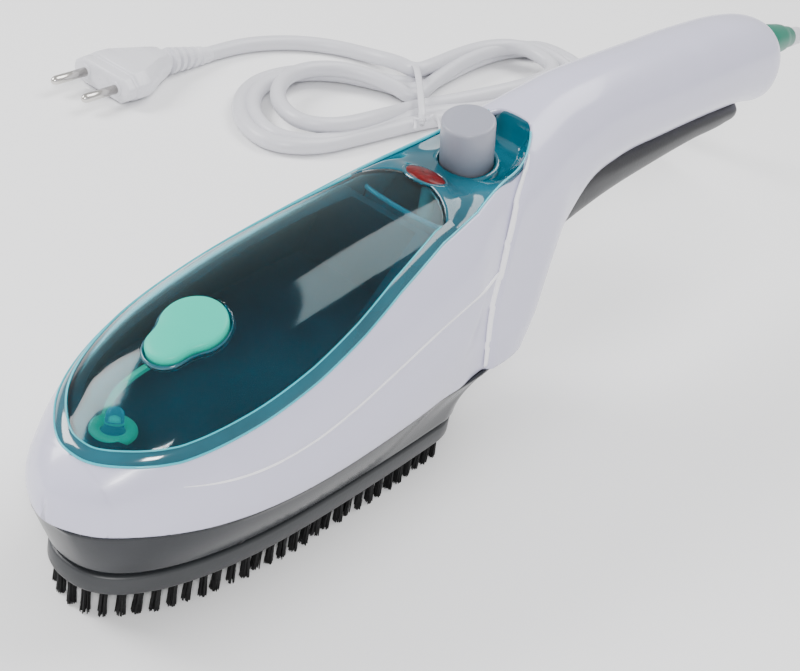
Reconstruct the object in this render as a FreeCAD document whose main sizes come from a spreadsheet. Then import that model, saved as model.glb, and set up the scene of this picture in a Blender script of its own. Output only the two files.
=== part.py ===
import FreeCAD, Part
import os
import Sketcher
from math import atan2, cos, hypot, pi, radians, sin, tan
from FreeCAD import Placement, Rotation, Vector

# Handheld garment steamer with a clip-on brush. Lengths are millimetres, angles are degrees.
# The model is laid out along X from the nose of the brush (station 0) to the cord at the handle's
# end, with Z up from the bristle tips, and every finished piece is then shifted so that the origin
# is the middle of the steamer's length.

doc = FreeCAD.newDocument("steamer")
sheet = doc.addObject("Spreadsheet::Sheet", "dims")

DIMENSIONS = {
    "mid_station": 180.3,
    "shell_wall": 2.4,
    "tank_wall": 2.2,
    "border_height": 36.5,
    "brush_length": 147.4,
    "brush_half_width": 26.5,
    "brush_rear_half": 25.0,
    "brush_nose_length": 75.0,
    "brush_corner": 15.7,
    "tuft_length": 10.0,
    "tuft_radius": 1.45,
    "tuft_inset": 2.2,
    "frame_height": 6.6,
    "frame_lip": 3.0,
    "frame_overhang": 1.2,
    "frame_lip_depth": 7.0,
    "frame_rim_depth": 3.2,
    "skirt_foot": 18.6,
    "skirt_wall": 2.2,
    "sole_gap": 0.4,
    "sole_inset": 4.2,
    "sole_hole_radius": 1.4,
    "block_top": 30.0,
    "element_radius": 3.5,
    "element_half_gap": 10.0,
    "element_front": 38.0,
    "element_rear": 124.0,
    "thermostat_radius": 5.0,
    "thermostat_height": 5.5,
    "fuse_radius": 2.0,
    "fuse_length": 14.0,
    "shield_height": 37.6,
    "shield_thickness": 0.8,
    "seam_station": 130.5,
    "seam_radius": 24.5,
    "wall_station": 176.0,
    "deck_height": 93.0,
    "deck_thickness": 2.0,
    "pocket_half_width": 16.5,
    "button_tilt": 13.5,
    "button_station": 151.0,
    "button_top": 110.0,
    "button_radius": 8.5,
    "button_bore": 6.9,
    "button_length": 25.0,
    "button_crown": 2.0,
    "button_travel": 6.0,
    "running_gap": 0.35,
    "pump_radius": 6.0,
    "pump_bore": 4.4,
    "pump_start": 23.0,
    "pump_length": 34.0,
    "stem_radius": 2.3,
    "piston_radius": 4.1,
    "piston_length": 5.0,
    "spring_radius": 5.2,
    "spring_wire": 0.45,
    "spring_pitch": 1.9,
    "cap_station": 38.5,
    "cap_surface": 79.2,
    "cap_tilt": 19.0,
    "cap_radius": 9.6,
    "cap_tab_radius": 6.3,
    "cap_tab_offset": 9.8,
    "cap_seat": 2.2,
    "cap_crown": 1.6,
    "bung_radius": 5.6,
    "bung_length": 6.0,
    "post_station": 12.5,
    "post_radius": 3.4,
    "post_bore": 1.5,
    "post_top": 60.0,
    "ring_radius": 4.32,
    "ring_section": 0.9,
    "ring_height": 54.6,
    "strap_section": 0.9,
    "floor_nose": 45.0,
    "floor_slope": 0.115,
    "lens_station": 137.2,
    "lens_half_width": 6.2,
    "lens_half_length": 4.6,
    "lens_height": 4.0,
    "lamp_radius": 2.4,
    "lamp_length": 11.0,
    "hose_radius": 2.2,
    "bushing_station": 338.0,
    "bushing_tip": 370.2,
    "bushing_height": 92.6,
    "bushing_drop": 5.1,
    "bushing_root_radius": 6.2,
    "bushing_tip_radius": 5.0,
    "cord_diameter": 7.0,
    "screw_radius": 1.5,
    "screw_head_radius": 2.9,
    "screw_head_height": 1.8,
    "screw_length": 9.0,
    "pin_diameter": 4.0,
    "pin_length": 19.0,
    "pin_spacing": 19.0,
    "plug_length": 36.0,
    "plug_thickness": 13.7,
    "relief_length": 28.0,
    "tie_width": 3.0,
    "tie_thickness": 0.7,
}

for row, (alias, number) in enumerate(DIMENSIONS.items(), start=1):
    sheet.set("A%d" % row, alias)
    sheet.set("B%d" % row, str(number))
    sheet.setAlias("B%d" % row, alias)
doc.recompute()


def dim(alias):
    """Value of one cell of the sheet."""
    return float(getattr(sheet, alias))


finished = []


def finish(piece, label, shifted=True):
    """Name a finished sub-part and shift it from its station to the model's frame."""
    piece.Label = label
    if shifted:
        piece.Placement = Placement(Vector(-dim("mid_station"), 0, 0), Rotation()) * piece.Placement
    finished.append(piece)
    return piece


def feature(label, shape, shifted=True):
    """A sub-part whose shape comes from Part's own functions."""
    piece = doc.addObject("Part::Feature", label)
    piece.Shape = shape
    return finish(piece, label, shifted)


def bind(piece, **links):
    """Bind properties of an object to expressions of sheet aliases."""
    for name, expression in links.items():
        piece.setExpression(name, expression)
    return piece


def cylinder(name, radius, height, place=None):
    piece = doc.addObject("Part::Cylinder", name)
    bind(piece, Radius=radius, Height=height)
    if place is not None:
        piece.Placement = place
    return piece


def cut(name, base, tool):
    piece = doc.addObject("Part::Cut", name)
    piece.Base = base
    piece.Tool = tool
    return piece


def fuse(name, shapes):
    piece = doc.addObject("Part::MultiFuse", name)
    piece.Shapes = shapes
    return piece


def upright(x, y, z):
    return Placement(Vector(x, y, z), Rotation())


def along_x(x, y, z):
    return Placement(Vector(x, y, z), Rotation(Vector(0, 1, 0), 90))


# ---------------------------------------------------------------- outer form

# One row per cross-section of the pod, neck and handle: station, half width, lowest point,
# height of the widest point, highest point, and the exponent of its superellipse.
BODY_SECTIONS = [
    (-10.4, 1.6, 35, 41, 46, 2.1),
    (-8.6, 8.0, 33, 41, 49, 2.2),
    (-4.5, 14.5, 30, 41, 53, 2.25),
    (3.0, 20.5, 26, 41, 58.5, 2.3),
    (12.0, 26.0, 24, 41, 65.5, 2.3),
    (24.0, 31.0, 22, 41, 73.0, 2.3),
    (40.0, 34.7, 20, 42, 80.0, 2.3),
    (62.0, 36.4, 20, 43, 86.3, 2.3),
    (88.0, 36.0, 20, 45, 91.0, 2.35),
    (112.0, 34.2, 20, 47, 94.0, 2.5),
    (132.0, 31.4, 20, 50, 96.0, 2.8),
    (150.0, 27.6, 22, 54, 98.5, 3.0),
    (165.0, 24.6, 28, 60, 101.0, 3.0),
    (180.0, 21.8, 38, 70, 105.0, 2.8),
    (193.0, 19.2, 52, 80, 108.5, 2.5),
    (208.0, 17.6, 68, 90, 110.5, 2.3),
    (228.0, 17.0, 75, 92, 111.0, 2.2),
    (258.0, 17.0, 76, 92, 110.3, 2.2),
    (290.0, 17.0, 75.5, 91.5, 109.2, 2.2),
    (318.0, 16.5, 73.5, 89.5, 107.0, 2.2),
    (335.0, 15.5, 70, 87, 103.5, 2.2),
    (345.0, 13.0, 68.5, 85, 99.5, 2.2),
]

# One row per level of the neck that stands on the heel: height, centre station, half length
# and half width of its rounded plan.
NECK_SECTIONS = [
    (24.0, 143.0, 33.0, 30.5),
    (37.0, 145.0, 34.0, 31.5),
    (46.5, 150.0, 34.0, 30.6),
    (55.0, 155.0, 33.0, 28.6),
    (64.0, 160.0, 32.0, 26.6),
    (74.0, 166.0, 30.5, 23.6),
    (86.0, 172.0, 27.0, 19.6),
    (97.0, 178.0, 22.0, 14.5),
]
NECK_EXPONENT = 3.0
RING_POINTS = 28


def superellipse(angle, exponent):
    """Unit superellipse point at an angle."""
    c, s = cos(angle), sin(angle)
    return (abs(c) ** (2 / exponent) * (1 if c >= 0 else -1),
            abs(s) ** (2 / exponent) * (1 if s >= 0 else -1))


def closed_curve(points):
    curve = Part.BSplineCurve()
    curve.interpolate(Points=points, PeriodicFlag=True)
    return Part.Wire([curve.toShape()])


def body_ring(section, inset):
    """Closed cross-section of the pod and handle, moved inwards by inset."""
    station, half, low, wide, high, exponent = section
    first, last = BODY_SECTIONS[0][0], BODY_SECTIONS[-1][0]
    nose_zone, tail_zone = 30.0, 20.0
    station += inset * max(0.0, 1 - (station - first) / nose_zone)
    station -= inset * max(0.0, 1 - (last - station) / tail_zone)
    ring = []
    for k in range(RING_POINTS):
        c, s = superellipse(2 * pi * (k + 0.5) / RING_POINTS, exponent)
        rise = (high - inset - wide) if s > 0 else (wide - low - inset)
        ring.append(Vector(station, (half - inset) * c, wide + rise * s))
    return closed_curve(ring)


def body_solid(inset):
    """Pod, neck and handle as one solid, inset from the outside by a wall."""
    wide_enough = [row for row in BODY_SECTIONS if row[1] > inset + 0.5]
    return Part.makeLoft([body_ring(row, inset) for row in wide_enough], True, False)


def neck_solid(inset):
    """The heel's pillar, which rises into the handle."""
    rings = []
    for level, centre, half_length, half_width in NECK_SECTIONS:
        ring = []
        for k in range(RING_POINTS):
            c, s = superellipse(2 * pi * (k + 0.5) / RING_POINTS, NECK_EXPONENT)
            ring.append(Vector(centre + (half_length - inset) * c, (half_width - inset) * s, level))
        rings.append(closed_curve(ring))
    return Part.makeLoft(rings, True, False)


def half_plan(start, end, nose_length, half, rear_half, corner, offset=0.0, steps=14):
    """Points of one half of a pointed-oval plan with a rounded rear end, offset outwards."""
    nose_exponent, taper_exponent = 2.4, 2.0
    points = []
    for k in range(steps):
        reach = nose_length * (k / steps) ** 2
        points.append((start + reach,
                       half * (1 - abs(1 - reach / nose_length) ** nose_exponent)
                       ** (1 / nose_exponent)))
    straight = end - corner - start - nose_length
    for k in range(7):
        share = k / 6
        points.append((start + nose_length + straight * share,
                       half - (half - rear_half) * share ** taper_exponent))
    for k in range(1, 6):
        turn = pi / 2 * k / 5
        points.append((end - corner + corner * sin(turn), rear_half - corner + corner * cos(turn)))
    moved = []
    for k, (x, y) in enumerate(points):
        before = points[max(k - 1, 0)]
        after = points[min(k + 1, len(points) - 1)]
        dx, dy = after[0] - before[0], after[1] - before[1]
        if k == 0:
            dx, dy = 0.0, 1.0
        length = hypot(dx, dy)
        moved.append((x - offset * dy / length, y + offset * dx / length))
    moved[-1] = (end + offset, points[-1][1])
    return moved


def plan_wire(level, half_points):
    """Closed wire of a symmetric plan at one level: a smooth side, and a straight rear."""
    near = [Vector(x, -y, level) for x, y in half_points]
    far = [Vector(x, y, level) for x, y in half_points[1:]]
    curve = Part.BSplineCurve()
    curve.interpolate(list(reversed(near)) + far)
    rear = Part.LineSegment(far[-1], near[-1])
    return Part.Wire([curve.toShape(), rear.toShape()])


def brush_plan(level, offset):
    return plan_wire(level, half_plan(0.0, dim("brush_length"), dim("brush_nose_length"),
                                      dim("brush_half_width"), dim("brush_rear_half"),
                                      dim("brush_corner"), offset))


def border_plan(level, offset):
    """Plan of the white shell's lower edge."""
    return plan_wire(level, half_plan(-9.9, 178.5, 84.0, 36.0, 29.6, 22.0, offset))


def slab(wire, height):
    return Part.Face(wire).extrude(Vector(0, 0, height))


def side_prism(points, half_width=60.0):
    """Solid whose side view is the closed outline points, through the whole width."""
    outline = Part.makePolygon([Vector(x, -half_width, z) for x, z in points + points[:1]])
    return Part.Face(outline).extrude(Vector(0, 2 * half_width, 0))


def curved_prism(edge, back, half_width=60.0):
    """Solid whose side view has one smooth edge through points, closed by straight lines."""
    curve = Part.BSplineCurve()
    curve.interpolate([Vector(x, -half_width, z) for x, z in edge])
    corners = [Vector(edge[-1][0], -half_width, edge[-1][1])]
    corners += [Vector(x, -half_width, z) for x, z in back]
    corners.append(Vector(edge[0][0], -half_width, edge[0][1]))
    closing = [Part.LineSegment(a, b).toShape() for a, b in zip(corners, corners[1:])]
    face = Part.Face(Part.Wire([curve.toShape()] + closing))
    return face.extrude(Vector(0, 2 * half_width, 0))


# Side view of the line where the clear tank meets the white shell.
RIM_LINE = [(-14, 53.4), (-2, 54.6), (15, 57.6), (32, 62.4), (58, 69.4), (78, 75.6), (95, 81.4),
            (118, 88.0), (140, 92.4)]

body_outer = body_solid(0.0)
body_inner = body_solid(dim("shell_wall"))
neck_outer = neck_solid(0.0)
neck_inner = neck_solid(dim("shell_wall"))
outer = body_outer.fuse(neck_outer)

above_rim = curved_prism(RIM_LINE, [(140, 140), (-14, 140)])
wall_x, deck_z = dim("wall_station"), dim("deck_height")
pocket_half = dim("pocket_half_width")
pocket_low = deck_z - dim("deck_thickness")
pocket_plan = [Vector(118, -19, pocket_low), Vector(150, -pocket_half, pocket_low),
               Vector(wall_x - 6, -14, pocket_low), Vector(wall_x, -9, pocket_low),
               Vector(wall_x, 9, pocket_low), Vector(wall_x - 6, 14, pocket_low),
               Vector(150, pocket_half, pocket_low), Vector(118, 19, pocket_low)]
pocket = Part.Face(Part.makePolygon(pocket_plan + pocket_plan[:1])).extrude(Vector(0, 0, 40))
below_border = Part.makeBox(260, 120, 60, Vector(-30, -60, dim("border_height") - 60))


# ------------------------------------------------------------- white shell

SCREW_STATIONS = (40.0, 112.0)
SCREW_SIDE = 24.0
GRIP_SCREW_STATIONS = (244.0, 300.0)


def shell_bosses():
    """Screw bosses inside the shell, each on a rib from the side wall."""
    low, height = dim("border_height"), 9.0
    solids = []
    for station in SCREW_STATIONS:
        for side in (-1, 1):
            at = Vector(station, side * SCREW_SIDE, low)
            corner = Vector(station - 1.2, SCREW_SIDE if side > 0 else -SCREW_SIDE - 14, low)
            solids.append(Part.makeCylinder(3.4, height, at).fuse(
                Part.makeBox(2.4, 14, height, corner)))
    return solids


def body_shell():
    shell = outer.cut(below_border)
    shell = shell.cut(body_inner).cut(neck_inner)
    shell = shell.cut(above_rim).cut(pocket)
    for boss in shell_bosses():
        shell = shell.fuse(boss.common(body_outer))
    for station in SCREW_STATIONS:
        for side in (-SCREW_SIDE, SCREW_SIDE):
            shell = shell.cut(Part.makeCylinder(dim("screw_radius"), 7.0,
                                                Vector(station, side, dim("border_height"))))
    for station in GRIP_SCREW_STATIONS:
        shell = shell.cut(Part.makeCylinder(dim("screw_radius"), 14, Vector(station, 0, 70)))
    bushing_hole = Part.makeCylinder(dim("bushing_root_radius") + 0.05, 30,
                                     bushing_point(0) - bushing_axis() * 4, bushing_axis())
    return shell.cut(bushing_hole)


def bushing_point(share):
    """Point on the bushing's axis, from 0 at its root to 1 at its tip."""
    return Vector(dim("bushing_station"), 0, dim("bushing_height")) + Vector(
        dim("bushing_tip") - dim("bushing_station"), 0, -dim("bushing_drop")) * share


def bushing_axis():
    return (bushing_point(1) - bushing_point(0)).normalize()


def largest_solid(shape):
    return max(shape.Solids, key=lambda solid: solid.Volume)


feature("body_shell", largest_solid(body_shell()))


# --------------------------------------------------------- lower housing

def lower_housing():
    foot, top = dim("skirt_foot"), dim("border_height")
    wall = dim("skirt_wall")
    solid = Part.makeLoft([brush_plan(foot, 1.9), border_plan(top, -1.2)], True, True)
    hollow = Part.makeLoft([brush_plan(foot + wall, 1.9 - wall),
                            border_plan(top + 0.01, -1.2 - wall)], True, True)
    opening = slab(brush_plan(foot - 1, -7.0), wall + 3)
    housing = solid.cut(hollow).cut(opening)
    for station in SCREW_STATIONS:
        for side in (-SCREW_SIDE, SCREW_SIDE):
            at = Vector(station, side, foot)
            housing = housing.fuse(Part.makeCylinder(3.6, top - foot, at))
            housing = housing.cut(Part.makeCylinder(dim("screw_radius") + 0.1, 30, at))
            housing = housing.cut(Part.makeCylinder(dim("screw_head_radius") + 0.2, 2.4, at))
    return housing


feature("lower_housing", largest_solid(lower_housing()))


# ------------------------------------------------------------- brush

def brush_frame():
    low = dim("tuft_length")
    ring = slab(brush_plan(low, dim("frame_overhang")), dim("frame_height"))
    ring = ring.cut(slab(brush_plan(low - 1, -dim("frame_lip_depth")), 20))
    return ring.cut(slab(brush_plan(low + dim("frame_lip"), -dim("frame_rim_depth")), 20))


def tuft_places(count=68):
    """Evenly spaced places round the brush, one for each tuft."""
    path = brush_plan(0, -dim("tuft_inset"))
    places = path.discretize(Number=count + 1)
    return places[:-1]


feature("brush_frame", brush_frame())
tufts = [Part.makeCylinder(dim("tuft_radius"), dim("tuft_length"), place)
         for place in tuft_places()]
feature("bristle_tufts", Part.makeCompound(tufts))


# ----------------------------------------------------- soleplate and boiler

BOILER_SCREW_STATIONS = (20.0, 133.0)


def soleplate():
    low = dim("tuft_length") + dim("frame_lip") + dim("sole_gap")
    plate = slab(brush_plan(low, -dim("sole_inset")), dim("skirt_foot") - low)
    for station in range(26, 130, 12):
        for side in (-10.0, 0.0, 10.0):
            plate = plate.cut(Part.makeCylinder(dim("sole_hole_radius"), 12,
                                                Vector(station, side, low - 2)))
    for station in BOILER_SCREW_STATIONS:
        plate = plate.cut(Part.makeCylinder(dim("screw_radius"), 4, Vector(station, 0, low + 1.6)))
    return plate


def element_path_solid(radius):
    """U-shaped tubular heater lying on the boiler block."""
    half, front, rear = (dim("element_half_gap"), dim("element_front"), dim("element_rear"))
    level = dim("block_top")
    legs = [Part.makeCylinder(radius, rear - front, Vector(front, side, level), Vector(1, 0, 0))
            for side in (-half, half)]
    bend = Part.makeTorus(half, radius, Vector(front, 0, level), Vector(0, 0, 1), -180, 180, 180)
    bend.rotate(Vector(front, 0, level), Vector(0, 0, 1), 90)
    return legs[0].fuse(legs[1]).fuse(bend)


def boiler_block():
    foot = dim("skirt_foot")
    block = slab(brush_plan(foot, -9.0), dim("block_top") - foot)
    block = block.common(Part.makeBox(128, 60, 40, Vector(14, -30, foot - 1)))
    for station in BOILER_SCREW_STATIONS:
        block = block.cut(Part.makeCylinder(dim("screw_radius"), 30, Vector(station, 0, foot - 1)))
    return block.cut(element_path_solid(dim("element_radius") + 0.05))


feature("soleplate", soleplate())
feature("boiler_block", largest_solid(boiler_block()))
feature("heating_element", element_path_solid(dim("element_radius")))

thermostat = cylinder("thermostat_body", "dims.thermostat_radius", "dims.thermostat_height",
                      upright(86, 0, dim("block_top")))
finish(thermostat, "thermostat")
fuse_link = cylinder("fuse_body", "dims.fuse_radius", "dims.fuse_length",
                     along_x(100, 0, dim("block_top") + dim("fuse_radius")))
finish(fuse_link, "thermal_fuse")


def heat_shield():
    level = dim("shield_height")
    metal = slab(border_plan(level, -6.0), dim("shield_thickness"))
    metal = metal.common(Part.makeBox(136, 80, 4, Vector(-10, -40, level - 1)))
    for station in SCREW_STATIONS:
        for side in (-1, 1):
            corner = Vector(station - 4, SCREW_SIDE - 4.2 if side > 0 else -40, level - 1)
            metal = metal.cut(Part.makeBox(8, 44.2 - SCREW_SIDE, 4, corner))
    return metal


feature("heat_shield", heat_shield())


# ------------------------------------------------------------- water tank

def above_line(points, drop):
    """Volume above a side-view line that is lowered by drop."""
    lowered = [(x, z - drop) for x, z in points]
    return curved_prism(lowered, [(points[-1][0], 150), (points[0][0], 150)])


seam_centre = dim("seam_station") - dim("seam_radius")
seam_disc = Part.makeCylinder(dim("seam_radius"), 120, Vector(seam_centre, 0, 20))
front_block = Part.makeBox(seam_centre + 40, 120, 120, Vector(-40, -60, 20))
tank_zone = front_block.fuse(seam_disc)
cap_place = Placement(Vector(dim("cap_station"), 0, dim("cap_surface")),
                      Rotation(Vector(0, 1, 0), -dim("cap_tilt")))


def cap_outline(grow, low, height):
    """Pear-shaped outline of the cap, its tab towards the nose, as a solid."""
    big = Part.makeCylinder(dim("cap_radius") + grow, height, Vector(0, 0, low))
    tab = Part.makeCylinder(dim("cap_tab_radius") + grow, height,
                            Vector(-dim("cap_tab_offset"), 0, low))
    solid = big.fuse(tab)
    solid.Placement = cap_place
    return solid


def tank_cover():
    skin = body_outer.cut(body_solid(dim("tank_wall")))
    boss = cap_outline(1.6, -6.5, 12).common(body_outer)
    cover = skin.fuse(boss).common(above_rim).common(tank_zone)
    cover = cover.cut(cap_outline(0.5, -dim("cap_seat"), 12))
    bung_hole = Part.makeCylinder(dim("bung_radius") + dim("running_gap"), 20, Vector(0, 0, -10))
    bung_hole.Placement = cap_place
    return largest_solid(cover.cut(bung_hole))


feature("tank_cover", tank_cover())


def filler_cap():
    seat = dim("cap_seat") - dim("running_gap")
    head = cap_outline(0.0, -seat, seat + dim("cap_crown"))
    bung = Part.makeCylinder(dim("bung_radius"), dim("bung_length"),
                             Vector(0, 0, -seat - dim("bung_length")))
    bung.Placement = cap_place
    return head.fuse(bung).removeSplitter()


feature("filler_cap", filler_cap())


def tank_base():
    """Tray that closes the tank from below: a sloping floor and a wall up to the rim."""
    gap = 0.3
    wall = dim("tank_wall")
    block = body_solid(dim("shell_wall") + gap)
    hollow = body_solid(dim("shell_wall") + gap + wall)
    low = dim("floor_nose")
    rise = dim("floor_slope")
    ends = (-20.0, 118.0)
    floor = [(x, low + rise * x) for x in ends]
    under_floor = side_prism([floor[0], floor[1], (ends[1], 0), (ends[0], 0)])
    over_floor = side_prism([(x, z + wall) for x, z in floor] + [(ends[1], 160), (ends[0], 160)])
    rear = Part.makeBox(300, 120, 200, Vector(ends[1], -60, 0))
    tray = block.cut(above_rim).cut(under_floor).cut(rear)
    inside = hollow.common(over_floor).cut(Part.makeBox(300, 120, 200,
                                                        Vector(ends[1] - wall, -60, 0)))
    return largest_solid(tray.cut(inside))


feature("tank_base", tank_base())


def floor_top(station):
    return dim("floor_nose") + dim("floor_slope") * station + dim("tank_wall")


post_floor = floor_top(dim("post_station"))
post = cut("post_with_bore",
           cylinder("post_solid", "dims.post_radius", "dims.post_top - %g" % (post_floor + 0.6),
                    upright(dim("post_station"), 0, post_floor + 0.6)),
           cylinder("post_hole", "dims.post_bore", "30",
                    upright(dim("post_station"), 0, post_floor)))
finish(post, "outlet_post")

ring = doc.addObject("Part::Torus", "ring_round_post")
bind(ring, Radius1="dims.ring_radius", Radius2="dims.ring_section")
ring.Placement = upright(dim("post_station"), 0, dim("ring_height"))
finish(ring, "tether_ring")


# ---------------------------------------------------------- tubes and cords

def rounded_path(points, share=0.45):
    """Straight runs joined by tangent arcs. Returns the wire and the arcs' radii."""
    corners = [Vector(*point) for point in points]
    edges, radii = [], []
    start = corners[0]
    for before, corner, after in zip(corners, corners[1:], corners[2:]):
        inward, outward = corner - before, after - corner
        turn = inward.getAngle(outward)
        setback = share * min(inward.Length, outward.Length)
        radii.append(setback / tan(turn / 2))
        inward.normalize()
        outward.normalize()
        enter = corner - inward * setback
        leave = corner + outward * setback
        bulge = (outward - inward).normalize()
        depth = radii[-1] * (1 / cos(turn / 2) - 1)
        edges.append(Part.LineSegment(start, enter).toShape())
        edges.append(Part.Arc(enter, corner + bulge * depth, leave).toShape())
        start = leave
    edges.append(Part.LineSegment(start, corners[-1]).toShape())
    return Part.Wire(edges), radii


def rounded_tube(points, radius):
    path, radii = rounded_path(points)
    start = path.Edges[0]
    direction = start.tangentAt(start.FirstParameter)
    profile = Part.Wire([Part.Circle(Vector(*points[0]), direction, radius).toShape()])
    tube = path.makePipeShell([profile], True, False)
    expected = pi * radius ** 2 * path.Length
    print("tube length %.1f, volume ratio %.4f, smallest radius %.1f"
          % (path.Length, tube.Volume / expected, min(radii)))
    return tube


STRAP_ROUTE = [(29.5, 0, 69.0), (26.8, 0.2, 66.6), (22.4, 1.2, 65.0), (18.6, 3.0, 61.6),
               (17.0, 4.2, 57.2)]
feature("cap_tether", rounded_tube(STRAP_ROUTE, dim("strap_section")))


# ------------------------------------------------------------- pump deck

def pump_cover():
    skin = body_outer.cut(body_solid(dim("tank_wall"))).common(above_rim).cut(tank_zone)
    skin = skin.common(Part.makeBox(300, 120, deck_z + 1.2, Vector(0, -60, 0)))
    plate = pocket.common(Part.makeBox(300, 120, dim("deck_thickness"),
                                       Vector(0, -60, pocket_low)))
    plate = plate.common(body_outer).cut(tank_zone)
    wall = pocket.common(Part.makeBox(2.0, 120, 40, Vector(wall_x - 2.0, -60, pocket_low)))
    wall = wall.common(body_outer)
    cover = skin.fuse(plate).fuse(wall)
    cover = cover.cut(button_cylinder(dim("button_radius") + 0.45, -6, 40))
    return largest_solid(cover.cut(lens_solid(0.1, 20)))


def button_frame():
    """Placement whose Z runs up the tilted pump axis, with its zero at the button's top."""
    return Placement(Vector(dim("button_station"), 0, dim("button_top")),
                     Rotation(Vector(0, 1, 0), -dim("button_tilt")))


def button_cylinder(radius, top, length):
    solid = Part.makeCylinder(radius, length, Vector(0, 0, top - length))
    solid.Placement = button_frame()
    return solid


def lens_solid(grow, height):
    """Oval indicator lens, its long side across the body."""
    ellipse = Part.Ellipse(Vector(0, 0, 0), dim("lens_half_width") + grow,
                           dim("lens_half_length") + grow)
    solid = Part.Face(Part.Wire([ellipse.toShape()])).extrude(Vector(0, 0, height))
    solid.Placement = Placement(Vector(dim("lens_station"), 0, deck_z - 1.4),
                                Rotation(Vector(0, 0, 1), 90))
    return solid


feature("pump_cover", pump_cover())
feature("indicator_lens", lens_solid(0.0, dim("lens_height")))
lamp = cylinder("lamp_body", "dims.lamp_radius", "dims.lamp_length",
                upright(dim("lens_station"), 0, pocket_low - dim("lamp_length")))
finish(lamp, "indicator_lamp")


# ------------------------------------------------------- button and pump

def tilted(name, radius, top, length):
    """Cylinder on the pump axis, from top downwards, both measured from the button's top."""
    place = button_frame() * Placement(Vector(0, 0, -top - length), Rotation())
    return cylinder(name, radius, "%g" % length, place)


button_skin = tilted("button_skin", "dims.button_radius", 0, dim("button_length"))
button_core = tilted("button_core", "dims.button_bore", dim("button_crown"),
                     dim("button_length"))
finish(cut("button_cup", button_skin, button_core), "pump_button")

pump_top = dim("pump_start")
pump_wall = tilted("pump_wall", "dims.pump_radius", pump_top, dim("pump_length"))
pump_hole = tilted("pump_hole", "dims.pump_bore", pump_top - 1, dim("pump_length") - 2)
pump_outlet = tilted("pump_outlet", "dims.pump_bore / 3", pump_top, dim("pump_length") + 5)
pump_tools = fuse("pump_tools", [pump_hole, pump_outlet])
finish(cut("pump_barrel", pump_wall, pump_tools), "pump_cylinder")

stem_end = pump_top + dim("pump_length") - 16
plunger_stem = tilted("plunger_stem", "dims.stem_radius", dim("button_crown"),
                      stem_end - dim("button_crown"))
plunger_head = tilted("plunger_head", "dims.piston_radius", stem_end, dim("piston_length"))
finish(fuse("plunger_solid", [plunger_stem, plunger_head]), "pump_plunger")


def pump_spring():
    """Return spring round the stem, drawn at the height it has when the button is pressed."""
    pressed = pump_top - dim("button_crown") - dim("button_travel") - 1.2
    helix = Part.makeHelix(dim("spring_pitch"), pressed - 1.0, dim("spring_radius"))
    profile = Part.Wire([Part.Circle(Vector(dim("spring_radius"), 0, 0), Vector(0, 1, 0),
                                     dim("spring_wire")).toShape()])
    coil = Part.Wire(helix).makePipeShell([profile], True, True)
    coil.Placement = button_frame() * Placement(
        Vector(0, 0, -pump_top + dim("spring_wire") + 0.05), Rotation())
    return coil


feature("pump_spring", pump_spring())


def pump_point(depth):
    """Point on the pump axis at a depth below the button's top."""
    return button_frame().multVec(Vector(0, 0, -depth))


pump_foot = pump_point(pump_top + dim("pump_length") + 0.2)
STEAM_ROUTE = [tuple(pump_foot), (pump_foot.x + 1.2, 0, pump_foot.z - 5.0),
               (pump_foot.x - 2.0, 0, pump_foot.z - 10.0), (pump_foot.x - 9, 0, 36.0),
               (pump_foot.x - 17, 0, 27.0), (138.42, 0, 27.0)]
feature("steam_tube", rounded_tube(STEAM_ROUTE, dim("hose_radius")))
side_inlet = pump_point(pump_top + dim("pump_length") - 8)
SUCTION_ROUTE = [(side_inlet.x - 6.6, 0, side_inlet.z - 1.6), (side_inlet.x - 14, 0, 52),
                 (132, 0, 51), (118, 0.5, 49.5), (98, 1.5, 50.0), (76, 0.5, 48.0),
                 (50, 0.0, 44.6), (30, 0.2, 42.4), (dim("post_station"), 0, 41.6)]
feature("suction_tube", rounded_tube(SUCTION_ROUTE, 1.8))


# ------------------------------------------------------------- handle

# Station, half width, lowest and highest point of the soft grip under the handle.
GRIP_SCREW_LEVEL = 70.5
GRIP_SECTIONS = [
    (199.0, 6.0, 50.0, 62.0),
    (206.0, 9.0, 53.0, 69.0),
    (218.0, 11.0, 57.5, 78.0),
    (232.0, 12.0, 62.0, 82.0),
    (255.0, 12.5, 65.5, 83.0),
    (285.0, 12.5, 68.0, 83.0),
    (310.0, 12.0, 68.2, 82.0),
    (324.0, 10.0, 70.5, 79.0),
]


def handle_grip():
    rings = []
    for station, half, low, high in GRIP_SECTIONS:
        ring = []
        for k in range(RING_POINTS):
            c, s = superellipse(2 * pi * (k + 0.5) / RING_POINTS, 2.6)
            ring.append(Vector(station, half * c, (low + high) / 2 + (high - low) / 2 * s))
        rings.append(closed_curve(ring))
    grip = Part.makeLoft(rings, True, False).cut(body_outer).cut(neck_outer)
    for station in GRIP_SCREW_STATIONS:
        at = Vector(station, 0, GRIP_SCREW_LEVEL)
        grip = grip.cut(Part.makeCylinder(dim("screw_radius") + 0.1, 20, at))
        grip = grip.cut(Part.makeCylinder(dim("screw_head_radius") + 0.2, 20, at, Vector(0, 0, -1)))
    return largest_solid(grip)


feature("handle_grip", handle_grip())


def cord_bushing():
    length = (bushing_point(1) - bushing_point(0)).Length
    axis = bushing_axis()
    inside = 9.0
    root = Part.makeCylinder(dim("bushing_root_radius") - 0.05, inside, bushing_point(0), axis)
    taper = Part.makeCone(dim("bushing_root_radius") - 0.05, dim("bushing_tip_radius"),
                          length - inside, bushing_point(0) + axis * inside, axis)
    bore = Part.makeCylinder(dim("cord_diameter") / 2, length - 1.0, bushing_point(0) - axis * 1.0,
                             axis)
    return root.fuse(taper).removeSplitter().cut(bore)


feature("cord_bushing", cord_bushing())


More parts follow.
